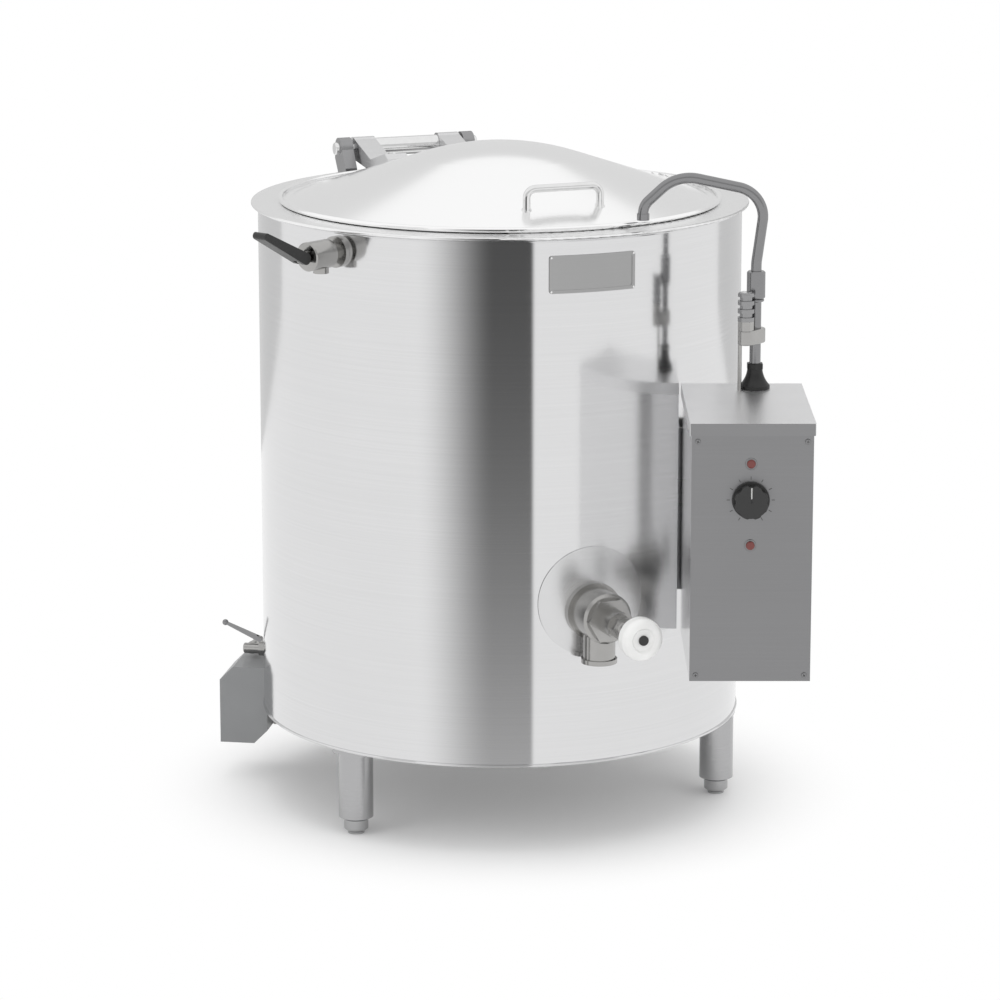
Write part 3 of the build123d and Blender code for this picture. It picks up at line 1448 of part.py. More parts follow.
# Junction cover: plate over the open rear side
with BuildPart() as junction_cover:
    with BuildSketch(section_plane(junction_azimuth, 0, 0, -junction_width / 2)):
        with BuildLine():
            Polyline(*junction_outline, close=True)
        make_face()
    extrude(amount=junction_wall)
    with BuildSketch(Plane.XY.offset(shell_bottom)):
        Circle(shell_radius)
    extrude(amount=junction_top - shell_bottom, mode=Mode.SUBTRACT)
junction_cover.part.label = "junction_cover"
export_step(junction_cover.part, "parts/junction_cover.step")

# Conduit elbow: from the junction box up into the base plate
elbow_plane = section_plane(junction_azimuth)
with BuildPart() as conduit_elbow:
    with BuildLine(elbow_plane):
        FilletPolyline(
            (junction_inner, elbow_height),
            (elbow_distance, elbow_height),
            (elbow_distance, base_top),
            radius=elbow_bend,
        )
    with BuildSketch(face_plane(junction_azimuth, junction_inner, elbow_height)):
        Circle(elbow_radius)
        Circle(elbow_radius - junction_wall, mode=Mode.SUBTRACT)
    sweep()
conduit_elbow.part.label = "conduit_elbow"
export_step(conduit_elbow.part, "parts/conduit_elbow.step")

# Pressure gauge: dial case on a stem from the jacket
gauge_start = shell_radius + gauge_standoff
with BuildPart() as pressure_gauge:
    with BuildSketch(face_plane(gauge_azimuth, 0, gauge_height)):
        Circle(gauge_stem_radius)
    extrude(amount=gauge_start)
    with BuildSketch(face_plane(gauge_azimuth, gauge_start, gauge_height)):
        Circle(gauge_radius)
    extrude(amount=gauge_depth)
    with BuildSketch(face_plane(gauge_azimuth, gauge_start + gauge_depth - gauge_bezel, gauge_height)):
        Circle(gauge_radius - gauge_bezel)
    extrude(amount=gauge_bezel, mode=Mode.SUBTRACT)
    with Locations((0, 0, bowl_centre)):
        Sphere(jacket_outer, mode=Mode.SUBTRACT)
pressure_gauge.part.label = "pressure_gauge"
export_step(pressure_gauge.part, "parts/pressure_gauge.step")

# Sight glass fittings: stems from the sump and the jacket with a block at each end
sight_spot = outward(sight_azimuth) * sight_distance
with BuildPart() as sight_fittings:
    for height in sight_heights:
        with BuildSketch(face_plane(sight_azimuth, 0, height)):
            Circle(sight_stem_radius)
        extrude(amount=sight_distance)
        with BuildSketch(Plane(origin=(sight_spot.X, sight_spot.Y, height - sight_fitting_height / 2))):
            Circle(sight_fitting_radius)
        extrude(amount=sight_fitting_height)
    with BuildSketch(Plane(origin=(sight_spot.X, sight_spot.Y, sight_heights[0]))):
        Circle(sight_tube_radius)
    extrude(amount=sight_heights[1] - sight_heights[0], mode=Mode.SUBTRACT)
    with BuildSketch(Plane.XY.offset(sump_bottom)):
        Circle(sump_radius)
    extrude(amount=bowl_centre - sump_bottom, mode=Mode.SUBTRACT)
    with Locations((0, 0, bowl_centre)):
        Sphere(jacket_outer, mode=Mode.SUBTRACT)
sight_fittings.part.label = "sight_fittings"
export_step(sight_fittings.part, "parts/sight_fittings.step")

# Sight glass tube between the two fittings
with BuildPart() as sight_tube:
    with BuildSketch(Plane(origin=(sight_spot.X, sight_spot.Y, sight_heights[0]))):
        Circle(sight_tube_radius)
        Circle(sight_tube_radius - sight_tube_wall, mode=Mode.SUBTRACT)
    extrude(amount=sight_heights[1] - sight_heights[0])
sight_tube.part.label = "sight_tube"
export_step(sight_tube.part, "parts/sight_tube.step")
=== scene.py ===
import bmesh
import bpy
import math
from mathutils import Matrix, Vector


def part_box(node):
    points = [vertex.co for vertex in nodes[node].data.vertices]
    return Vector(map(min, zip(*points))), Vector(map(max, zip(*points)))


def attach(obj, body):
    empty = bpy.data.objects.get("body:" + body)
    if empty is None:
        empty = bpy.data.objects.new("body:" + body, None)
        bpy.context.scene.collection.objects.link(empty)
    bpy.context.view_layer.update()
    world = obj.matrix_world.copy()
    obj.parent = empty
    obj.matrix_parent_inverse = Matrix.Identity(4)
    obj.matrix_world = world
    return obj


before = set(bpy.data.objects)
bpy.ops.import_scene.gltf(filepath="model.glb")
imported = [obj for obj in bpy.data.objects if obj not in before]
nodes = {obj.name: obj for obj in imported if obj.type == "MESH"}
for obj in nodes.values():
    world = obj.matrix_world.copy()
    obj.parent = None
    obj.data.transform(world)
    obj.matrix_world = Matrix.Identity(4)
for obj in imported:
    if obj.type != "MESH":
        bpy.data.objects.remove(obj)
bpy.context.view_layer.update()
print("frame loaded:", len(nodes), "pieces")


# shader helpers
def feed(tree, slot, value):  # a value or a link into one input
    if isinstance(value, Flow):
        tree.links.new(value.socket, slot)
    elif slot.type == "RGBA" and len(value) == 3:
        slot.default_value = (*value, 1.0)
    else:
        slot.default_value = value


class Flow:  # one output socket that takes part in sums
    def __init__(self, tree, socket):
        self.tree = tree
        self.socket = socket

    def math(self, operation, other, swapped=False):
        node = self.tree.nodes.new("ShaderNodeMath")
        node.operation = operation
        pair = (other, self) if swapped else (self, other)
        for slot, value in zip(node.inputs, pair):
            feed(self.tree, slot, value)
        return Flow(self.tree, node.outputs[0])

    def __add__(self, other):
        return self.math("ADD", other)

    def __radd__(self, other):
        return self.math("ADD", other, True)

    def __sub__(self, other):
        return self.math("SUBTRACT", other)

    def __rsub__(self, other):
        return self.math("SUBTRACT", other, True)

    def __mul__(self, other):
        return self.math("MULTIPLY", other)

    def __rmul__(self, other):
        return self.math("MULTIPLY", other, True)

    def __lt__(self, other):
        return self.math("LESS_THAN", other)

    def __truediv__(self, other):
        return self.math("DIVIDE", other)

    def __rtruediv__(self, other):
        return self.math("DIVIDE", other, True)

    def __pow__(self, other):
        return self.math("POWER", other)

    def __rpow__(self, other):
        return self.math("POWER", other, True)


class Finish:  # one material: a Principled shader and whatever feeds it
    def __init__(self, name):
        self.material = bpy.data.materials.new(name)
        self.material.use_nodes = True
        self.tree = self.material.node_tree
        self.shader = self.tree.nodes["Principled BSDF"]

    def node(self, kind, settings, inputs, output=0):
        made = self.tree.nodes.new("ShaderNode" + kind)
        for key, value in settings.items():
            setattr(made, key, value)
        for key, value in inputs.items():
            feed(self.tree, made.inputs[key], value)
        return Flow(self.tree, made.outputs[output])

    def place(self, scale=(1.0, 1.0, 1.0)):  # object coordinates, stretched
        coords = self.node("TexCoord", {}, {}, "Object")
        return self.node("Mapping", {}, {"Vector": coords, "Scale": scale})

    def noise(self, vector, scale, detail=2.0, rough=0.5):
        inputs = {"Vector": vector, "Scale": scale, "Detail": detail, "Roughness": rough}
        return self.node("TexNoise", {}, inputs)

    def blend(self, factor, first, second):
        return self.node("Mix", {"data_type": "RGBA"}, {0: factor, 6: first, 7: second}, 2)

    def bump(self, height, strength, distance):
        return self.node("Bump", {}, {"Height": height, "Strength": strength, "Distance": distance})

    def set(self, **values):
        for key, value in values.items():
            feed(self.tree, self.shader.inputs[key.replace("_", " ")], value)
        return self.material


def shade(colour, factor):
    return tuple(min(1.0, channel * factor) for channel in colour)


# finishes
grains = {"level": (2.0, 2.0, 700.0), "tube": (40.0, 40.0, 700.0), "hinge": (40.0, 40.0, 500.0),
          "polish": (90.0, 90.0, 90.0), "sheet": (6.0, 6.0, 620.0), "badge": (8.0, 8.0, 900.0)}


def brushedFinish(name, colour, rough, grain, depth=0.00025, smudge=0.06):
    made = Finish(name)
    streak = made.noise(made.place(grain), 1.0, 3.0, 0.6)
    cloud = made.noise(made.place(), 5.0, 3.0)
    tone = made.blend(streak, shade(colour, 0.93), shade(colour, 1.05))
    marked = made.blend(cloud * smudge * 4.0, tone, shade(colour, 0.82))
    return made.set(
        Base_Color=marked,
        Metallic=1.0,
        Roughness=rough + (streak - 0.5) * 0.14 + (cloud - 0.5) * smudge,
        Normal=made.bump(streak, 0.25, depth),
    )


def hoodFinish(name, top, front, edge, rough):  # the lip at the front carries painted reflection: it is as dark as the cover below it
    made = Finish(name)
    coords = made.node("TexCoord", {}, {}, "Object")
    # painted reflection: faces in front of the edge in Y take the dark front colour, standing in for the
    # dark surroundings they reflect
    paintedShadeLip = made.node("SeparateXYZ", {}, {"Vector": coords}, "Y") < edge
    streak = made.noise(made.place(grains["sheet"]), 1.0, 3.0, 0.6)
    cloud = made.noise(coords, 9.0, 3.0)
    tone = made.blend(paintedShadeLip, top, front)
    return made.set(
        Base_Color=made.blend(cloud * 0.2, tone, shade(front, 1.4)),
        Metallic=1.0,
        Roughness=rough + (streak - 0.5) * 0.10 + paintedShadeLip * 0.08,
        Normal=made.bump(streak, 0.25, 0.0002),
    )


def spunFinish(name, colour, rough):  # turning lines run round the Z axis
    made = Finish(name)
    coords = made.node("TexCoord", {}, {}, "Object")
    flat = made.node("VectorMath", {"operation": "MULTIPLY"}, {0: coords, 1: (1.0, 1.0, 0.0)})
    reach = made.node("VectorMath", {"operation": "LENGTH"}, {0: flat}, "Value")
    line = made.node("CombineXYZ", {}, {"X": reach * 420.0})
    streak = made.noise(line, 1.0, 3.0, 0.6)
    cloud = made.noise(coords, 6.0, 2.0)
    return made.set(
        Base_Color=made.blend(streak, shade(colour, 0.95), shade(colour, 1.03)),
        Metallic=1.0,
        Roughness=rough + (streak - 0.5) * 0.08 + (cloud - 0.5) * 0.05,
        Normal=made.bump(streak, 0.12, 0.0002),
    )


def castFinish(name, colour, rough):
    made = Finish(name)
    grain = made.noise(made.place(), 420.0, 3.0, 0.65)
    cloud = made.noise(made.place(), 22.0, 3.0)
    tone = made.blend(cloud, shade(colour, 0.78), shade(colour, 1.12))
    return made.set(
        Base_Color=tone,
        Metallic=1.0,
        Roughness=rough + (cloud - 0.5) * 0.22 + (grain - 0.5) * 0.08,
        Normal=made.bump(grain, 0.22, 0.0004),
    )


def plasticFinish(name, colour, rough, grainScale=650.0, depth=0.00015):
    made = Finish(name)
    grain = made.noise(made.place(), grainScale, 2.0)
    cloud = made.noise(made.place(), 30.0, 2.0)
    tone = made.blend(cloud, shade(colour, 0.88), shade(colour, 1.10))
    return made.set(
        Base_Color=tone,
        Roughness=rough + (cloud - 0.5) * 0.12,
        Normal=made.bump(grain, 0.15, depth),
    )


def enamelFinish(name, colour, rough):
    made = Finish(name)
    peel = made.noise(made.place(), 160.0, 2.0)
    cloud = made.noise(made.place(), 14.0, 3.0)
    return made.set(
        Base_Color=made.blend(cloud, shade(colour, 0.92), shade(colour, 1.06)),
        Roughness=rough + (cloud - 0.5) * 0.10,
        Normal=made.bump(peel, 0.10, 0.0004),
    )


def fibreFinish(name, colour):
    made = Finish(name)
    fibre = made.noise(made.place((1.0, 1.0, 3.0)), 260.0, 5.0, 0.75)
    cloud = made.noise(made.place(), 18.0, 3.0)
    tone = made.blend(fibre, shade(colour, 0.7), shade(colour, 1.15))
    return made.set(
        Base_Color=made.blend(cloud * 0.5, tone, shade(colour, 0.8)),
        Roughness=0.95,
        Normal=made.bump(fibre, 0.6, 0.002),
    )


def glassFinish(name):
    made = Finish(name)
    cloud = made.noise(made.place(), 90.0, 2.0)
    made.shader.inputs["Transmission Weight"].default_value = 1.0
    return made.set(Base_Color=(0.95, 0.98, 0.97), Roughness=0.02 + cloud * 0.03)


def lensFinish(name, colour):
    made = Finish(name)
    cloud = made.noise(made.place(), 240.0, 2.0)
    made.shader.inputs["Coat Weight"].default_value = 0.6
    return made.set(
        Base_Color=made.blend(cloud, shade(colour, 0.8), shade(colour, 1.15)),
        Roughness=0.16 + cloud * 0.06,
        Normal=made.bump(cloud, 0.2, 0.0003),
    )


# painted reflection: the dark grey below stands in for the dark surroundings that the front faces of the
# control box reflect; the cover, its screws, the lens bezels and the front lip of the hood take it
reflectionShadeGrey = (0.27, 0.27, 0.275)
shellSteel = brushedFinish("shellSteel", (0.74, 0.74, 0.745), 0.13, grains["level"], 0.00012)
deckSteel = spunFinish("deckSteel", (0.90, 0.90, 0.90), 0.24)
lidSteel = spunFinish("lidSteel", (0.95, 0.95, 0.95), 0.17)
innerSteel = spunFinish("innerSteel", (0.72, 0.72, 0.72), 0.28)
tubeSteel = brushedFinish("tubeSteel", (0.66, 0.66, 0.665), 0.26, grains["tube"])
plateSteel = brushedFinish("plateSteel", (0.72, 0.72, 0.725), 0.24, grains["level"], 0.00015)
polishedSteel = brushedFinish("polishedSteel", (0.80, 0.80, 0.80), 0.11, grains["polish"], 0.0001, 0.03)
spoutSteel = brushedFinish("spoutSteel", (0.27, 0.27, 0.275), 0.14, grains["polish"], 0.0001, 0.03)
shadedFrontSheet = brushedFinish("shadedFrontSheet", reflectionShadeGrey, 0.36, grains["sheet"])
traySteel = brushedFinish("traySteel", (0.86, 0.86, 0.865), 0.20, grains["sheet"], 0.00012)
hoodSteel = hoodFinish("hoodSteel", top=(0.88, 0.88, 0.885), front=reflectionShadeGrey, edge=-0.5655, rough=0.36)
badgeSheet = brushedFinish("badgeSheet", (0.40, 0.40, 0.40), 0.34, grains["badge"])
hingeSteel = brushedFinish("hingeSteel", (0.34, 0.34, 0.345), 0.30, grains["hinge"])
legSteel = brushedFinish("legSteel", (0.46, 0.46, 0.465), 0.24, grains["tube"])
platedBronze = castFinish("platedBronze", (0.43, 0.425, 0.415), 0.18)
darkBronze = castFinish("darkBronze", (0.05, 0.05, 0.05), 0.34)
jacketSteel = castFinish("jacketSteel", (0.45, 0.44, 0.43), 0.42)
blackPlastic = plasticFinish("blackPlastic", (0.022, 0.022, 0.022), 0.38)
whitePlastic = plasticFinish("whitePlastic", (0.88, 0.88, 0.87), 0.24, 400.0)
blackRubber = plasticFinish("blackRubber", (0.02, 0.02, 0.02), 0.72, 900.0, 0.0003)
# dark paint for printed ticks and marks and the spout screen; on the cover screws it is painted shade in
# their slots
darkPaintAndShade = plasticFinish("darkPaintAndShade", (0.04, 0.04, 0.04), 0.5)
dialPaint = plasticFinish("dialPaint", (0.82, 0.82, 0.80), 0.42)
greyEnamel = enamelFinish("greyEnamel", (0.27, 0.275, 0.28), 0.34)
woolFibre = fibreFinish("woolFibre", (0.70, 0.62, 0.38))
clearGlass = glassFinish("clearGlass")
redLens = lensFinish("redLens", (0.16, 0.02, 0.015))

nodeFinish = {
    "outer_shell": shellSteel, "rim_deck": deckSteel, "kettle_vessel": innerSteel, "lid": lidSteel,
    "draw_off_tube": tubeSteel, "steam_jacket": jacketSteel, "jacket_sump": jacketSteel,
    "heating_elements": jacketSteel, "insulation": woolFibre, "base_plate": innerSteel,
    "leg_front_left": legSteel, "leg_front_right": legSteel, "leg_rear": legSteel,
    "foot_front_left": legSteel, "foot_front_right": legSteel, "foot_rear": legSteel,
    "valve_escutcheon": plateSteel, "name_plate": badgeSheet, "valve_body": platedBronze,
    "valve_bonnet": platedBronze, "packing_nut": platedBronze, "valve_plug": platedBronze,
    "valve_stem": polishedSteel, "valve_knob": whitePlastic, "knob_cap": blackPlastic,
    "lid_handle": polishedSteel, "hinge_brackets": hingeSteel, "hinge_arms": plateSteel,
    "hinge_pin": polishedSteel, "spring_tube": polishedSteel, "control_box": traySteel,
    "box_hood": hoodSteel, "control_cover": shadedFrontSheet, "cover_screws": shadedFrontSheet,
    "mounting_channel": hingeSteel, "indicator_lights": redLens, "thermostat_body": blackPlastic,
    "thermostat_dial": blackPlastic, "contactor": blackPlastic, "terminal_block": whitePlastic,
    "faucet_base": darkBronze, "faucet_riser": spoutSteel, "water_inlet": platedBronze,
    "faucet_body": platedBronze, "faucet_handle": hingeSteel, "swivel_nut": spoutSteel,
    "spout": spoutSteel, "spout_nozzle": spoutSteel, "vent_pipe": jacketSteel,
    "vent_valve": platedBronze, "vent_lever": blackPlastic, "relief_pipe": jacketSteel,
    "relief_valve": platedBronze, "relief_lever": spoutSteel, "junction_box": greyEnamel,
    "junction_cover": greyEnamel, "conduit_elbow": jacketSteel, "pressure_gauge": polishedSteel,
    "sight_fittings": platedBronze, "sight_tube": clearGlass,
}
for name, finish in nodeFinish.items():
    nodes[name].data.materials.clear()
    nodes[name].data.materials.append(finish)
print("finishes set:", len(nodeFinish))


# modelling helpers
def outward(azimuth):
    return Vector((math.sin(math.radians(azimuth)), -math.cos(math.radians(azimuth)), 0.0))


def sideways(azimuth):
    return Vector((math.cos(math.radians(azimuth)), math.sin(math.radians(azimuth)), 0.0))


def facing(azimuth, distance, height):  # local Z points outward, Y up
    side, up, out = sideways(azimuth), Vector((0, 0, 1)), outward(azimuth)
    turned = Matrix((side, up, out)).transposed().to_4x4()
    return Matrix.Translation(out * distance + up * height) @ turned


def standing(x, y, z):  # local Z points up
    return Matrix.Translation((x, y, z))


def pointing(spot, direction):  # local Z points along the direction
    turned = Vector(direction).to_track_quat("Z", "Y").to_matrix().to_4x4()
    return Matrix.Translation(spot) @ turned


def ringPiece(bm, profile, place, steps=48):  # closed profile of radius and height pairs
    part = bmesh.new()
    points = [part.verts.new((radius, 0.0, height)) for radius, height in profile]
    edges = [part.edges.new(pair) for pair in zip(points, points[1:] + points[:1])]
    bmesh.ops.spin(part, geom=points + edges, cent=(0, 0, 0), axis=(0, 0, 1), angle=2 * math.pi,
                   steps=steps, use_merge=True)
    bmesh.ops.remove_doubles(part, verts=part.verts, dist=1e-6)
    bmesh.ops.recalc_face_normals(part, faces=part.faces)
    joinInto(bm, part, place)


def joinInto(bm, part, place):
    bmesh.ops.transform(part, matrix=place, verts=part.verts)
    spare = bpy.data.meshes.new("spare")
    part.to_mesh(spare)
    part.free()
    bm.from_mesh(spare)
    bpy.data.meshes.remove(spare)


def discPiece(bm, radius, depth, place, edge=0.0, segments=32):  # stands on local z = 0
    part = bmesh.new()
    bmesh.ops.create_cone(
        part, cap_ends=True, segments=segments, radius1=radius, radius2=radius, depth=depth,
        matrix=Matrix.Translation((0, 0, depth / 2)),
    )
    if edge:
        rim = [line for line in part.edges if all(vert.co.z > depth * 0.9 for vert in line.verts)]
        bmesh.ops.bevel(part, geom=rim, offset=edge, segments=3, profile=0.5, affect="EDGES", material=-1)
    bmesh.ops.recalc_face_normals(part, faces=part.faces)
    joinInto(bm, part, place)


def blockPiece(bm, size, place, edge=0.0):  # centred on the place
    part = bmesh.new()
    bmesh.ops.create_cube(part, size=1.0, matrix=Matrix.Diagonal((*size, 1.0)))
    if edge:
        bmesh.ops.bevel(part, geom=part.edges, offset=edge, segments=2, profile=0.5, affect="EDGES",
                        material=-1)
    bmesh.ops.recalc_face_normals(part, faces=part.faces)
    joinInto(bm, part, place)


def beadProfile(radius, size, height=0.0, points=8):  # round wire at a distance from the axis
    turn = [2 * math.pi * index / points for index in range(points)]
    return [(radius + size * math.cos(angle), height + size * math.sin(angle)) for angle in turn]


def meshObject(name, bm, finish):
    mesh = bpy.data.meshes.new(name)
    bm.to_mesh(mesh)
    bm.free()
    mesh.materials.append(finish)
    piece = bpy.data.objects.new(name, mesh)
    bpy.context.scene.collection.objects.link(piece)
    return piece


def finishPiece(name, bm, finish, body, smooth=True):
    piece = meshObject(name, bm, finish)
    if smooth:
        piece.data.shade_smooth()
        piece.data.set_sharp_from_angle(angle=math.radians(35))
    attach(piece, body)


# shell trim
shellTrim = {"radius": 0.381, "rimWeldHeight": 0.9495, "rimWeldSize": 0.0016, "hemHeight": 0.1395,
             "hemSize": 0.0022, "steps": 160, "seamAzimuth": 172.0, "seamWidth": 0.005, "seamProud": 0.0006,
             "seamEdge": 0.0003}
bm = bmesh.new()
for size, height in (("rimWeldSize", "rimWeldHeight"), ("hemSize", "hemHeight")):
    bead = beadProfile(shellTrim["radius"], shellTrim[size], shellTrim[height])
    ringPiece(bm, bead, standing(0, 0, 0), shellTrim["steps"])
seamHeight = shellTrim["rimWeldHeight"] - shellTrim["hemHeight"]
seamMiddle = (shellTrim["rimWeldHeight"] + shellTrim["hemHeight"]) / 2
blockPiece(bm, (shellTrim["seamWidth"], seamHeight, 2 * shellTrim["seamProud"]),
           facing(shellTrim["seamAzimuth"], shellTrim["radius"], seamMiddle), shellTrim["seamEdge"])
finishPiece("shell_trim", bm, shellSteel, "kettle")

# name plate rivets
plate = {"azimuth": 21.5, "radius": 0.383, "height": 0.899, "halfWidth": 0.0665, "halfLength": 0.0257,
         "rivetRadius": 0.0019, "rivetHeight": 0.0011, "rivetEdge": 0.0005}
bm = bmesh.new()
for side in (-1, 1):
    turn = math.degrees(math.asin(side * plate["halfWidth"] / plate["radius"]))
    for row in (-1, 1):
        place = facing(plate["azimuth"] + turn, plate["radius"], plate["height"] + row * plate["halfLength"])
        discPiece(bm, plate["rivetRadius"], plate["rivetHeight"], place, plate["rivetEdge"], 16)
finishPiece("plate_rivets", bm, polishedSteel, "kettle")
print("shell trim and plate done")

# draw-off valve
valve = {"azimuth": 21.5, "height": 0.380, "stemRadius": 0.006, "threadDepth": 0.0005, "threadRoot": 0.0001,
         "threadSunk": 0.0002, "threadPitch": 0.0022, "threadStart": 0.5085, "threadEnd": 0.551,
         "glandStart": 0.506, "glandRadius": 0.0105, "glandHeight": 0.0022, "glandGap": 0.0006,
         "glandBevel": 0.0012}
valveFace = facing(valve["azimuth"], 0.0, valve["height"])
bm = bmesh.new()
turns = int((valve["threadEnd"] - valve["threadStart"]) / valve["threadPitch"])
sunk = valve["stemRadius"] - valve["threadSunk"]
profile = [(sunk, valve["threadStart"])]
for index in range(turns):
    low = valve["threadStart"] + index * valve["threadPitch"]
    for share, rise in ((0.1, "threadRoot"), (0.5, "threadDepth"), (0.9, "threadRoot")):
        profile.append((valve["stemRadius"] + valve[rise], low + share * valve["threadPitch"]))
profile.append((sunk, valve["threadStart"] + turns * valve["threadPitch"]))
ringPiece(bm, profile, valveFace, 28)
finishPiece("stem_thread", bm, polishedSteel, "draw_off_knob")

bm = bmesh.new()
glandBore = valve["stemRadius"] + valve["glandGap"]
glandTop = valve["glandStart"] + valve["glandHeight"]
ringPiece(bm, [(glandBore, valve["glandStart"]), (valve["glandRadius"], valve["glandStart"]),
               (valve["glandRadius"] - valve["glandBevel"], glandTop), (glandBore, glandTop)], valveFace, 32)
finishPiece("packing_gland", bm, platedBronze, "kettle")
print("draw-off valve done")

# lid
lidTrim = {"azimuth": 21.5, "handleDistance": 0.262, "handleHalf": 0.060, "handleRadius": 0.006,
           "slope": math.radians(18.3), "coneRadius": 0.329, "coneHeight": 0.960, "weldSize": 0.0016,
           "weldGap": 0.0003, "armAzimuth": 201.5, "armOffset": 0.0745, "armFoot": 0.345,
           "armFootTop": 0.978, "armTip": 0.276, "armTipTop": 0.99616, "boltDistances": (0.292, 0.322),
           "boltRadius": 0.006, "boltHeight": 0.0042, "boltEdge": 0.0008, "washerRim": 0.0022,
           "washerHeight": 0.0009, "washerEdge": 0.0003}
bm = bmesh.new()
out, across = outward(lidTrim["azimuth"]), sideways(lidTrim["azimuth"])
for side in (-1, 1):
    spot = out * lidTrim["handleDistance"] + across * side * lidTrim["handleHalf"]
    height = lidTrim["coneHeight"] + (lidTrim["coneRadius"] - spot.length) * math.tan(lidTrim["slope"])
    lean = spot.normalized() * math.sin(lidTrim["slope"]) + Vector((0, 0, math.cos(lidTrim["slope"])))
    place = pointing(Vector((spot.x, spot.y, height)), lean)
    ringPiece(bm, beadProfile(lidTrim["handleRadius"] + lidTrim["weldGap"], lidTrim["weldSize"]), place, 32)
finishPiece("handle_welds", bm, polishedSteel, "lid")

bm = bmesh.new()
armOut = outward(lidTrim["armAzimuth"])
armFall = (lidTrim["armTipTop"] - lidTrim["armFootTop"]) / (lidTrim["armFoot"] - lidTrim["armTip"])
for side in (-1, 1):
    for distance in lidTrim["boltDistances"]:
        armTop = lidTrim["armFootTop"] + (lidTrim["armFoot"] - distance) * armFall
        spot = armOut * distance + sideways(lidTrim["armAzimuth"]) * side * lidTrim["armOffset"]
        lean = armOut * armFall + Vector((0, 0, 1))
        place = pointing(Vector((spot.x, spot.y, armTop)), lean)
        discPiece(bm, lidTrim["boltRadius"] + lidTrim["washerRim"], lidTrim["washerHeight"], place,
                  lidTrim["washerEdge"], 28)
        discPiece(bm, lidTrim["boltRadius"], lidTrim["boltHeight"], place, lidTrim["boltEdge"], 6)
finishPiece("arm_bolts", bm, polishedSteel, "lid")

hinge = {"azimuth": 201.5, "distance": 0.432, "height": 0.986, "pinEnd": 0.122, "pinInset": 0.0039,
         "capRadius": 0.0105, "capHeight": 0.0045, "capSunk": 0.003, "capEdge": 0.0022}
bm = bmesh.new()
for side in (-1, 1):
    across = sideways(hinge["azimuth"]) * side
    spot = outward(hinge["azimuth"]) * hinge["distance"] + across * (hinge["pinEnd"] - hinge["pinInset"])
    spot.z = hinge["height"]
    discPiece(bm, hinge["capRadius"], hinge["capHeight"] + hinge["capSunk"], pointing(spot, across),
              hinge["capEdge"], 32)
finishPiece("pin_caps", bm, polishedSteel, "kettle")
print("lid and hinge done")

# control box front
box = {"front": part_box("control_cover")[0].y, "dialX": 0.366, "dialHeight": 0.599, "tickInner": 0.0305,
       "tickOuter": 0.0352, "tickWidth": 0.0009, "tickCount": 11, "tickSweep": 300, "tickProud": 0.00025,
       "lensHeights": (0.653, 0.531), "bezelBore": 0.0066, "bezelRadius": 0.0088, "bezelHeight": 0.0016,
       "bezelBevel": 0.0006, "screwX": (0.288, 0.448), "screwZ": (0.334, 0.686), "screwFace": 0.0025,
       "slotLength": 0.0046, "slotWidth": 0.0009, "slotThick": 0.0003, "slotTurns": (20, 110),
       "slotDrift": 137.0}


def onFront(x, z, proud=0.0):
    return Matrix.Translation((x, box["front"] - proud, z)) @ facing(0, 0, 0)


bm = bmesh.new()
for index in range(box["tickCount"]):
    angle = math.radians(-box["tickSweep"] / 2 + box["tickSweep"] * index / (box["tickCount"] - 1))
    middle = (box["tickInner"] + box["tickOuter"]) / 2
    place = onFront(box["dialX"] + middle * math.sin(angle), box["dialHeight"] + middle * math.cos(angle))
    place = place @ Matrix.Rotation(-angle, 4, "Z")
    blockPiece(bm, (box["tickWidth"], box["tickOuter"] - box["tickInner"], 2 * box["tickProud"]), place)
finishPiece("dial_ticks", bm, darkPaintAndShade, "kettle", False)

bm = bmesh.new()
for height in box["lensHeights"]:
    ringPiece(bm, [(box["bezelBore"], 0.0), (box["bezelRadius"], 0.0),
                   (box["bezelRadius"], box["bezelHeight"] * 0.6),
                   (box["bezelRadius"] - box["bezelBevel"], box["bezelHeight"]),
                   (box["bezelBore"], box["bezelHeight"])], onFront(box["dialX"], height), 36)
finishPiece("lens_bezels", bm, shadedFrontSheet, "kettle")

# painted shade: thin dark strips on the cover screws stand in for the shade inside their slots
bm = bmesh.new()
for x in box["screwX"]:
    for z in box["screwZ"]:
        for start in box["slotTurns"]:
            turn = math.radians(start + box["slotDrift"] * (x + z))
            place = onFront(x, z, box["screwFace"]) @ Matrix.Rotation(turn, 4, "Z")
            blockPiece(bm, (box["slotLength"], box["slotWidth"], box["slotThick"]), place)
finishPiece("screw_slot_shade", bm, darkPaintAndShade, "kettle", False)

dialMark = {"front": 0.0223, "sunk": 0.0011, "width": 0.0018, "thick": 0.0004, "start": 0.006, "end": 0.0225}
bm = bmesh.new()
markLength = dialMark["end"] - dialMark["start"]
markHeight = box["dialHeight"] + (dialMark["end"] + dialMark["start"]) / 2
blockPiece(bm, (dialMark["width"], markLength, dialMark["thick"]),
           onFront(box["dialX"], markHeight, dialMark["front"] - dialMark["sunk"]))
finishPiece("dial_mark", bm, dialPaint, "thermostat_dial", False)
print("control box done")

# fill faucet
faucet = {"x": 0.386, "y": -0.301, "baseTop": 0.743, "nutRadius": 0.0135, "nutHeight": 0.009,
          "nutEdge": 0.0012, "tubeRadius": 0.0085, "collarBottom": 0.8465, "collarRadius": 0.0125,
          "collarHeight": 0.0045, "collarBevel": 0.001, "spoutAzimuth": 266.2, "reach": 0.171,
          "tipHeight": 0.9685, "tipBore": 0.0066, "screenInset": 0.001, "screenThick": 0.0012,
          "handleX": 0.370, "handleY": -0.324, "handleTop": 0.8643, "buttonRadius": 0.0085,
          "buttonThick": 0.0006, "buttonSunk": 0.0001, "buttonEdge": 0.0003}
bm = bmesh.new()
place = standing(faucet["x"], faucet["y"], faucet["baseTop"])
discPiece(bm, faucet["nutRadius"], faucet["nutHeight"], place, faucet["nutEdge"], 6)
finishPiece("riser_nut", bm, darkBronze, "kettle")

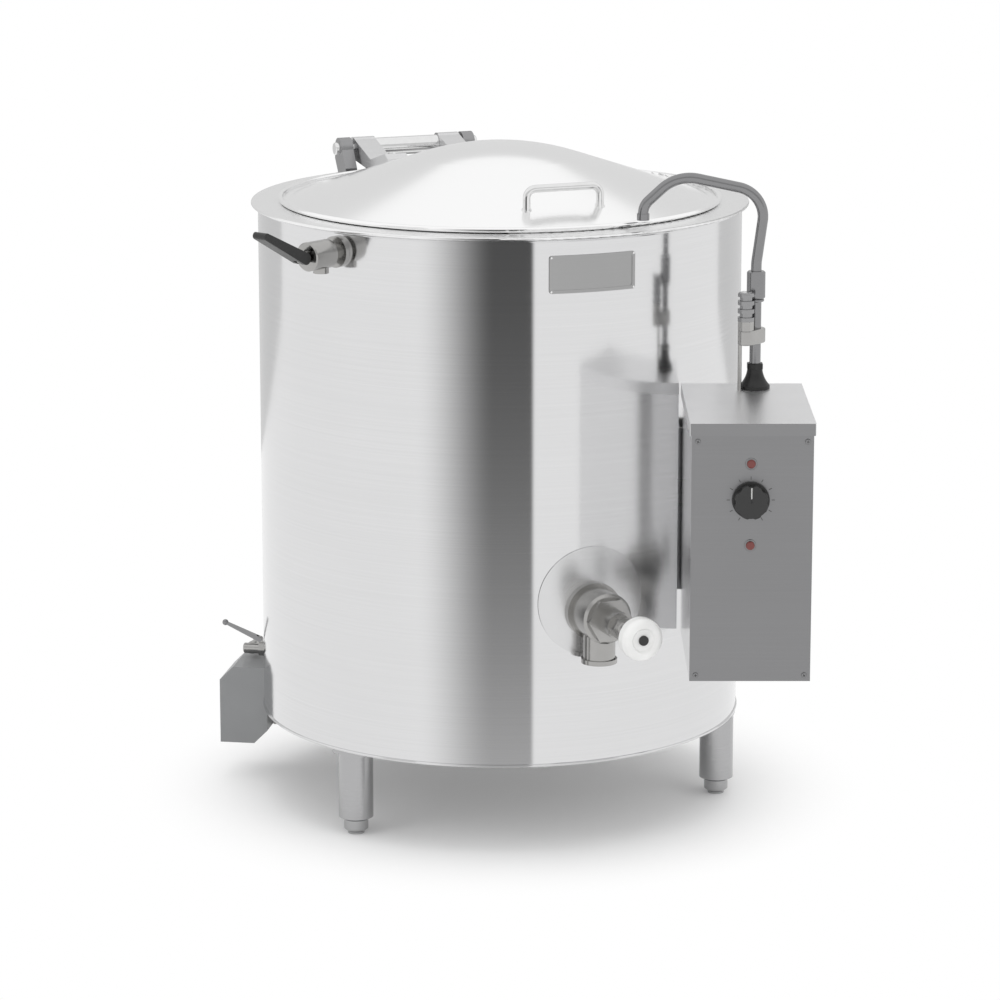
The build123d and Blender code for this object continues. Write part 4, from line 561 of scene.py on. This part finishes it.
bm = bmesh.new()
collarShoulder = faucet["collarRadius"] - faucet["collarBevel"]
collarTop = faucet["collarHeight"] - faucet["collarBevel"]
ringPiece(bm, [(faucet["tubeRadius"], 0.0), (collarShoulder, 0.0),
               (faucet["collarRadius"], faucet["collarBevel"]), (faucet["collarRadius"], collarTop),
               (collarShoulder, faucet["collarHeight"]), (faucet["tubeRadius"], faucet["collarHeight"])],
          standing(faucet["x"], faucet["y"], faucet["collarBottom"]), 40)
finishPiece("riser_collar", bm, spoutSteel, "kettle")

tip = Vector((faucet["x"], faucet["y"], 0)) + outward(faucet["spoutAzimuth"]) * faucet["reach"]
bm = bmesh.new()
place = standing(tip.x, tip.y, faucet["tipHeight"] + faucet["screenInset"])
discPiece(bm, faucet["tipBore"], faucet["screenThick"], place)
finishPiece("spout_screen", bm, darkPaintAndShade, "spout")

bm = bmesh.new()
place = standing(faucet["handleX"], faucet["handleY"], faucet["handleTop"] - faucet["buttonSunk"])
discPiece(bm, faucet["buttonRadius"], faucet["buttonThick"], place, faucet["buttonEdge"])
finishPiece("handle_button", bm, polishedSteel, "faucet_handle")
print("faucet done")

# junction box
junction = {"azimuth": -99.0, "entryDistance": 0.420, "entryBottom": 0.062, "bushInner": 0.0085,
            "bushNeck": 0.0108, "bushOuter": 0.0145, "bushDrop": 0.005, "bushRise": 0.0035,
            "bushBevel": 0.002, "screws": ((0.386, 0.170), (0.440, 0.076)), "coverFace": 0.0575,
            "screwRadius": 0.0036, "screwHeight": 0.002, "screwEdge": 0.0009}
entry = outward(junction["azimuth"]) * junction["entryDistance"]
bm = bmesh.new()
foot = -junction["bushDrop"]
ringPiece(bm, [(junction["bushInner"], foot), (junction["bushOuter"] - junction["bushBevel"], foot),
               (junction["bushOuter"], foot * 0.5), (junction["bushOuter"], 0.0),
               (junction["bushNeck"], 0.0), (junction["bushNeck"], junction["bushRise"]),
               (junction["bushInner"], junction["bushRise"])],
          standing(entry.x, entry.y, junction["entryBottom"]), 40)
finishPiece("entry_bushing", bm, blackRubber, "kettle")

bm = bmesh.new()
rear = -sideways(junction["azimuth"])
for distance, height in junction["screws"]:
    spot = outward(junction["azimuth"]) * distance + rear * junction["coverFace"]
    spot.z = height
    discPiece(bm, junction["screwRadius"], junction["screwHeight"], pointing(spot, rear),
              junction["screwEdge"], 20)
finishPiece("junction_screws", bm, polishedSteel, "kettle")
print("junction box done")

# pressure gauge face; a tick is its length and its width
gauge = {"azimuth": -128.0, "height": 0.470, "face": 0.4231, "faceThick": 0.0006, "radius": 0.0295,
         "tickCount": 21, "tickSweep": 270, "tickOuter": 0.0265, "tickThick": 0.0002, "tickLift": 0.0007,
         "longTick": (0.0055, 0.0009), "shortTick": (0.003, 0.0005), "longEvery": 5,
         "needleLength": 0.024, "needleWidth": 0.0011, "needleThick": 0.0003, "needleLift": 0.0013,
         "hubRadius": 0.0030, "hubHeight": 0.0012, "hubLift": 0.0006, "hubEdge": 0.0003,
         "glass": 0.4262, "glassRim": 0.0004, "glassThick": 0.0008}
gaugeFace = facing(gauge["azimuth"], gauge["face"], gauge["height"])
bm = bmesh.new()
discPiece(bm, gauge["radius"], gauge["faceThick"], gaugeFace, 0.0, 64)
finishPiece("gauge_face", bm, dialPaint, "kettle")

bm = bmesh.new()
for index in range(gauge["tickCount"]):
    angle = math.radians(-gauge["tickSweep"] / 2 + gauge["tickSweep"] * index / (gauge["tickCount"] - 1))
    length, width = gauge["shortTick"] if index % gauge["longEvery"] else gauge["longTick"]
    middle = gauge["tickOuter"] - length / 2
    place = Matrix.Translation((middle * math.sin(angle), middle * math.cos(angle), gauge["tickLift"]))
    blockPiece(bm, (width, length, gauge["tickThick"]), gaugeFace @ place @ Matrix.Rotation(-angle, 4, "Z"))
needle = gaugeFace @ Matrix.Rotation(math.radians(gauge["tickSweep"] / 2), 4, "Z")
needle = needle @ Matrix.Translation((0, gauge["needleLength"] / 3, gauge["needleLift"]))
blockPiece(bm, (gauge["needleWidth"], gauge["needleLength"], gauge["needleThick"]), needle)
hub = gaugeFace @ Matrix.Translation((0, 0, gauge["hubLift"]))
discPiece(bm, gauge["hubRadius"], gauge["hubHeight"], hub, gauge["hubEdge"], 24)
finishPiece("gauge_marks", bm, darkPaintAndShade, "kettle", False)

bm = bmesh.new()
place = facing(gauge["azimuth"], gauge["glass"], gauge["height"])
discPiece(bm, gauge["radius"] + gauge["glassRim"], gauge["glassThick"], place, 0.0, 64)
finishPiece("gauge_glass", bm, clearGlass, "kettle")

# sight glass trim
sight = {"azimuth": -143.0, "distance": 0.402, "low": 0.248, "high": 0.382, "ringRadius": 0.0086,
         "tubeRadius": 0.0061, "ringHeight": 0.004, "guardOffset": 0.0095, "guardOut": 0.004,
         "guardRadius": 0.0015, "guardSunk": 0.001}
spot = outward(sight["azimuth"]) * sight["distance"]
bm = bmesh.new()
for height in (sight["low"], sight["high"] - sight["ringHeight"]):
    ringPiece(bm, [(sight["tubeRadius"], 0), (sight["ringRadius"], 0),
                   (sight["ringRadius"], sight["ringHeight"]), (sight["tubeRadius"], sight["ringHeight"])],
              standing(spot.x, spot.y, height), 32)
finishPiece("sight_seals", bm, blackRubber, "kettle")

bm = bmesh.new()
guardLength = sight["high"] - sight["low"] + 2 * sight["guardSunk"]
for side in (-1, 1):
    rod = spot + sideways(sight["azimuth"]) * side * sight["guardOffset"]
    rod = rod + outward(sight["azimuth"]) * sight["guardOut"]
    place = standing(rod.x, rod.y, sight["low"] - sight["guardSunk"])
    discPiece(bm, sight["guardRadius"], guardLength, place, 0.0, 16)
finishPiece("sight_guards", bm, polishedSteel, "kettle")
print("gauge and sight glass done")


# stage
def shownRays(made):  # 1 for camera, glossy and transmission rays
    kinds = ("Camera", "Glossy", "Transmission")
    rays = [made.node("LightPath", {}, {}, "Is %s Ray" % kind) for kind in kinds]
    return (rays[0] + rays[1] + rays[2]).math("MINIMUM", 1.0)


def stagePiece(name, bm, finish):
    piece = meshObject(name, bm, finish)
    return piece


# floor: takes the shadow near the kettle and turns to plain white further out
floor = {"near": 0.30, "far": 0.60, "size": 30.0}
paper = Finish("paper")
grain = paper.noise(paper.place(), 3.0, 2.0)
paper.set(Base_Color=paper.blend(grain, (0.93, 0.93, 0.93), (0.95, 0.95, 0.95)), Roughness=0.9)
coords = paper.node("TexCoord", {}, {}, "Object")
spread = paper.node("VectorMath", {"operation": "LENGTH"}, {0: coords}, "Value")
away = paper.node("MapRange", {"interpolation_type": "SMOOTHSTEP"},
                  {"Value": spread, "From Min": floor["near"], "From Max": floor["far"]})
white = paper.node("Emission", {}, {"Strength": 1.0})
matte = Flow(paper.tree, paper.shader.outputs[0])
mixed = paper.node("MixShader", {}, {0: away * shownRays(paper), 1: matte, 2: white})
paper.tree.links.new(mixed.socket, paper.tree.nodes["Material Output"].inputs["Surface"])
bm = bmesh.new()
bmesh.ops.create_grid(bm, x_segments=1, y_segments=1, size=floor["size"])
stagePiece("floor", bm, paper.material)


class Sky(Finish):  # the world's nodes, reached by the same method
    def __init__(self, name):
        self.material = bpy.data.worlds.new(name)
        self.material.use_nodes = True
        self.tree = self.material.node_tree
        self.shader = self.tree.nodes["Background"]


studio = {"light": 0.86, "shown": 1.0}
sky = Sky("studio")
level = shownRays(sky) * (studio["shown"] - studio["light"]) + studio["light"]
bpy.context.scene.world = sky.set(Color=(1.0, 1.0, 1.0), Strength=level)


# cards that only reflections see, so that plain steel shows bands as it does in a studio
def cardPiece(name, bm, made, level):
    made.shader.inputs["Base Color"].default_value = (0.0, 0.0, 0.0, 1.0)
    made.shader.inputs["Specular IOR Level"].default_value = 0.0
    made.shader.inputs["Emission Strength"].default_value = 1.0
    made.set(Emission_Color=made.node("CombineColor", {}, {0: level, 1: level, 2: level}))
    piece = stagePiece(name, bm, made.material)
    for kind in ("camera", "diffuse", "shadow", "transmission"):
        setattr(piece, "visible_" + kind, False)


def roundCard(name, card):  # dark between a long fade and a short one, less so towards its foot
    made = Finish(name)
    coords = made.node("TexCoord", {}, {}, "Object")
    x, y, z = [made.node("SeparateXYZ", {}, {"Vector": coords}, axis) for axis in "XYZ"]
    towards = math.radians(card["middle"])
    across = x * math.cos(towards) + y * math.sin(towards)
    turn = across.math("ARCTAN2", x * math.sin(towards) - y * math.cos(towards))
    fade, edge = [
        made.node("MapRange", {"interpolation_type": "SMOOTHSTEP"},
                  {"Value": turn, "From Min": math.radians(low), "From Max": math.radians(high)})
        for low, high in (card["fade"], card["edge"])
    ]
    drop = ((card["darkHeight"] - z) / card["span"]).math("MAXIMUM", 0.0)
    dark = drop ** card["bend"] * card["gain"] + card["dark"]
    bm = bmesh.new()
    start = outward(card["middle"] + card["fade"][0]) * card["radius"]
    foot, head = bm.verts.new(start), bm.verts.new(start + Vector((0, 0, card["top"])))
    bmesh.ops.spin(bm, geom=[foot, head, bm.edges.new((foot, head))], cent=(0, 0, 0), axis=(0, 0, 1),
                   angle=math.radians(card["edge"][1] - card["fade"][0]), steps=32)
    cardPiece(name, bm, made, 1.0 - fade * (1.0 - edge) * (1.0 - dark))


def flatCard(name, card):  # a faintly clouded grey, behind or in front of the kettle
    made = Finish(name)
    bm = bmesh.new()
    corners = [(-card["half"], card["bottom"]), (card["half"], card["bottom"]),
               (card["half"], card["rightTop"]), (-card["half"], card["leftTop"])]
    bm.faces.new([bm.verts.new((x, card["y"], z)) for x, z in corners])
    cloud = made.noise(made.place(), 0.5)
    cardPiece(name, bm, made, cloud * card["ripple"] + card["glow"])


frontCard = {"radius": 0.43, "middle": 0.0, "fade": (-22.2, -1.2), "edge": (7.7, 9.0), "top": 1.02,
             "darkHeight": 0.974, "span": 0.83, "dark": 0.10, "gain": 0.36, "bend": 1.8}
rearCard = {"radius": 0.62, "middle": 180.0, "fade": (-36.0, 16.0), "edge": (28.0, 31.0), "top": 0.98,
            "darkHeight": 0.93, "span": 0.83, "dark": 0.22, "gain": 0.30, "bend": 1.8}
backCard = {"y": 2.5, "half": 4.0, "bottom": 0.0, "leftTop": 2.92, "rightTop": 2.58, "glow": 0.69,
            "ripple": 0.04}
highCard = {"y": -2.6, "half": 4.0, "bottom": 1.4, "leftTop": 2.9, "rightTop": 3.1, "glow": 0.66,
            "ripple": 0.04}
roundCard("front_card", frontCard)
roundCard("rear_card", rearCard)
flatCard("back_card", backCard)
flatCard("high_card", highCard)


def softLight(name, light):
    lamp = bpy.data.lights.new(name, "AREA")
    lamp.shape = "RECTANGLE"
    lamp.size = lamp.size_y = light["size"]
    lamp.energy = light["power"]
    holder = bpy.data.objects.new(name, lamp)
    holder.matrix_world = pointing(light["spot"], Vector(light["spot"]) - Vector(light["target"]))
    bpy.context.scene.collection.objects.link(holder)
    holder.visible_glossy = False


lights = {"keyLight": {"spot": (-3.4, -3.0, 3.6), "target": (0, 0, 0.4), "size": 2.6, "power": 22.0},
          "fillLight": {"spot": (3.6, -2.6, 3.0), "target": (0, 0, 0.4), "size": 2.6, "power": 20.0},
          "topLight": {"spot": (0.0, 0.3, 4.6), "target": (0, 0, 0.4), "size": 2.4, "power": 38.0}}
for name, light in lights.items():
    softLight(name, light)

view = {"spot": (0.0, -6.3, 1.916), "pitch": 12.93, "lens": 145.2, "sensor": 36.0}
camera = bpy.data.objects.new("camera", bpy.data.cameras.new("camera"))
camera.data.lens = view["lens"]
camera.data.sensor_width = view["sensor"]
camera.location = view["spot"]
camera.rotation_euler = (math.radians(90 - view["pitch"]), 0.0, 0.0)
bpy.context.scene.collection.objects.link(camera)
bpy.context.scene.camera = camera
bpy.context.scene.view_settings.view_transform = "Standard"
print("stage, lights and camera done")
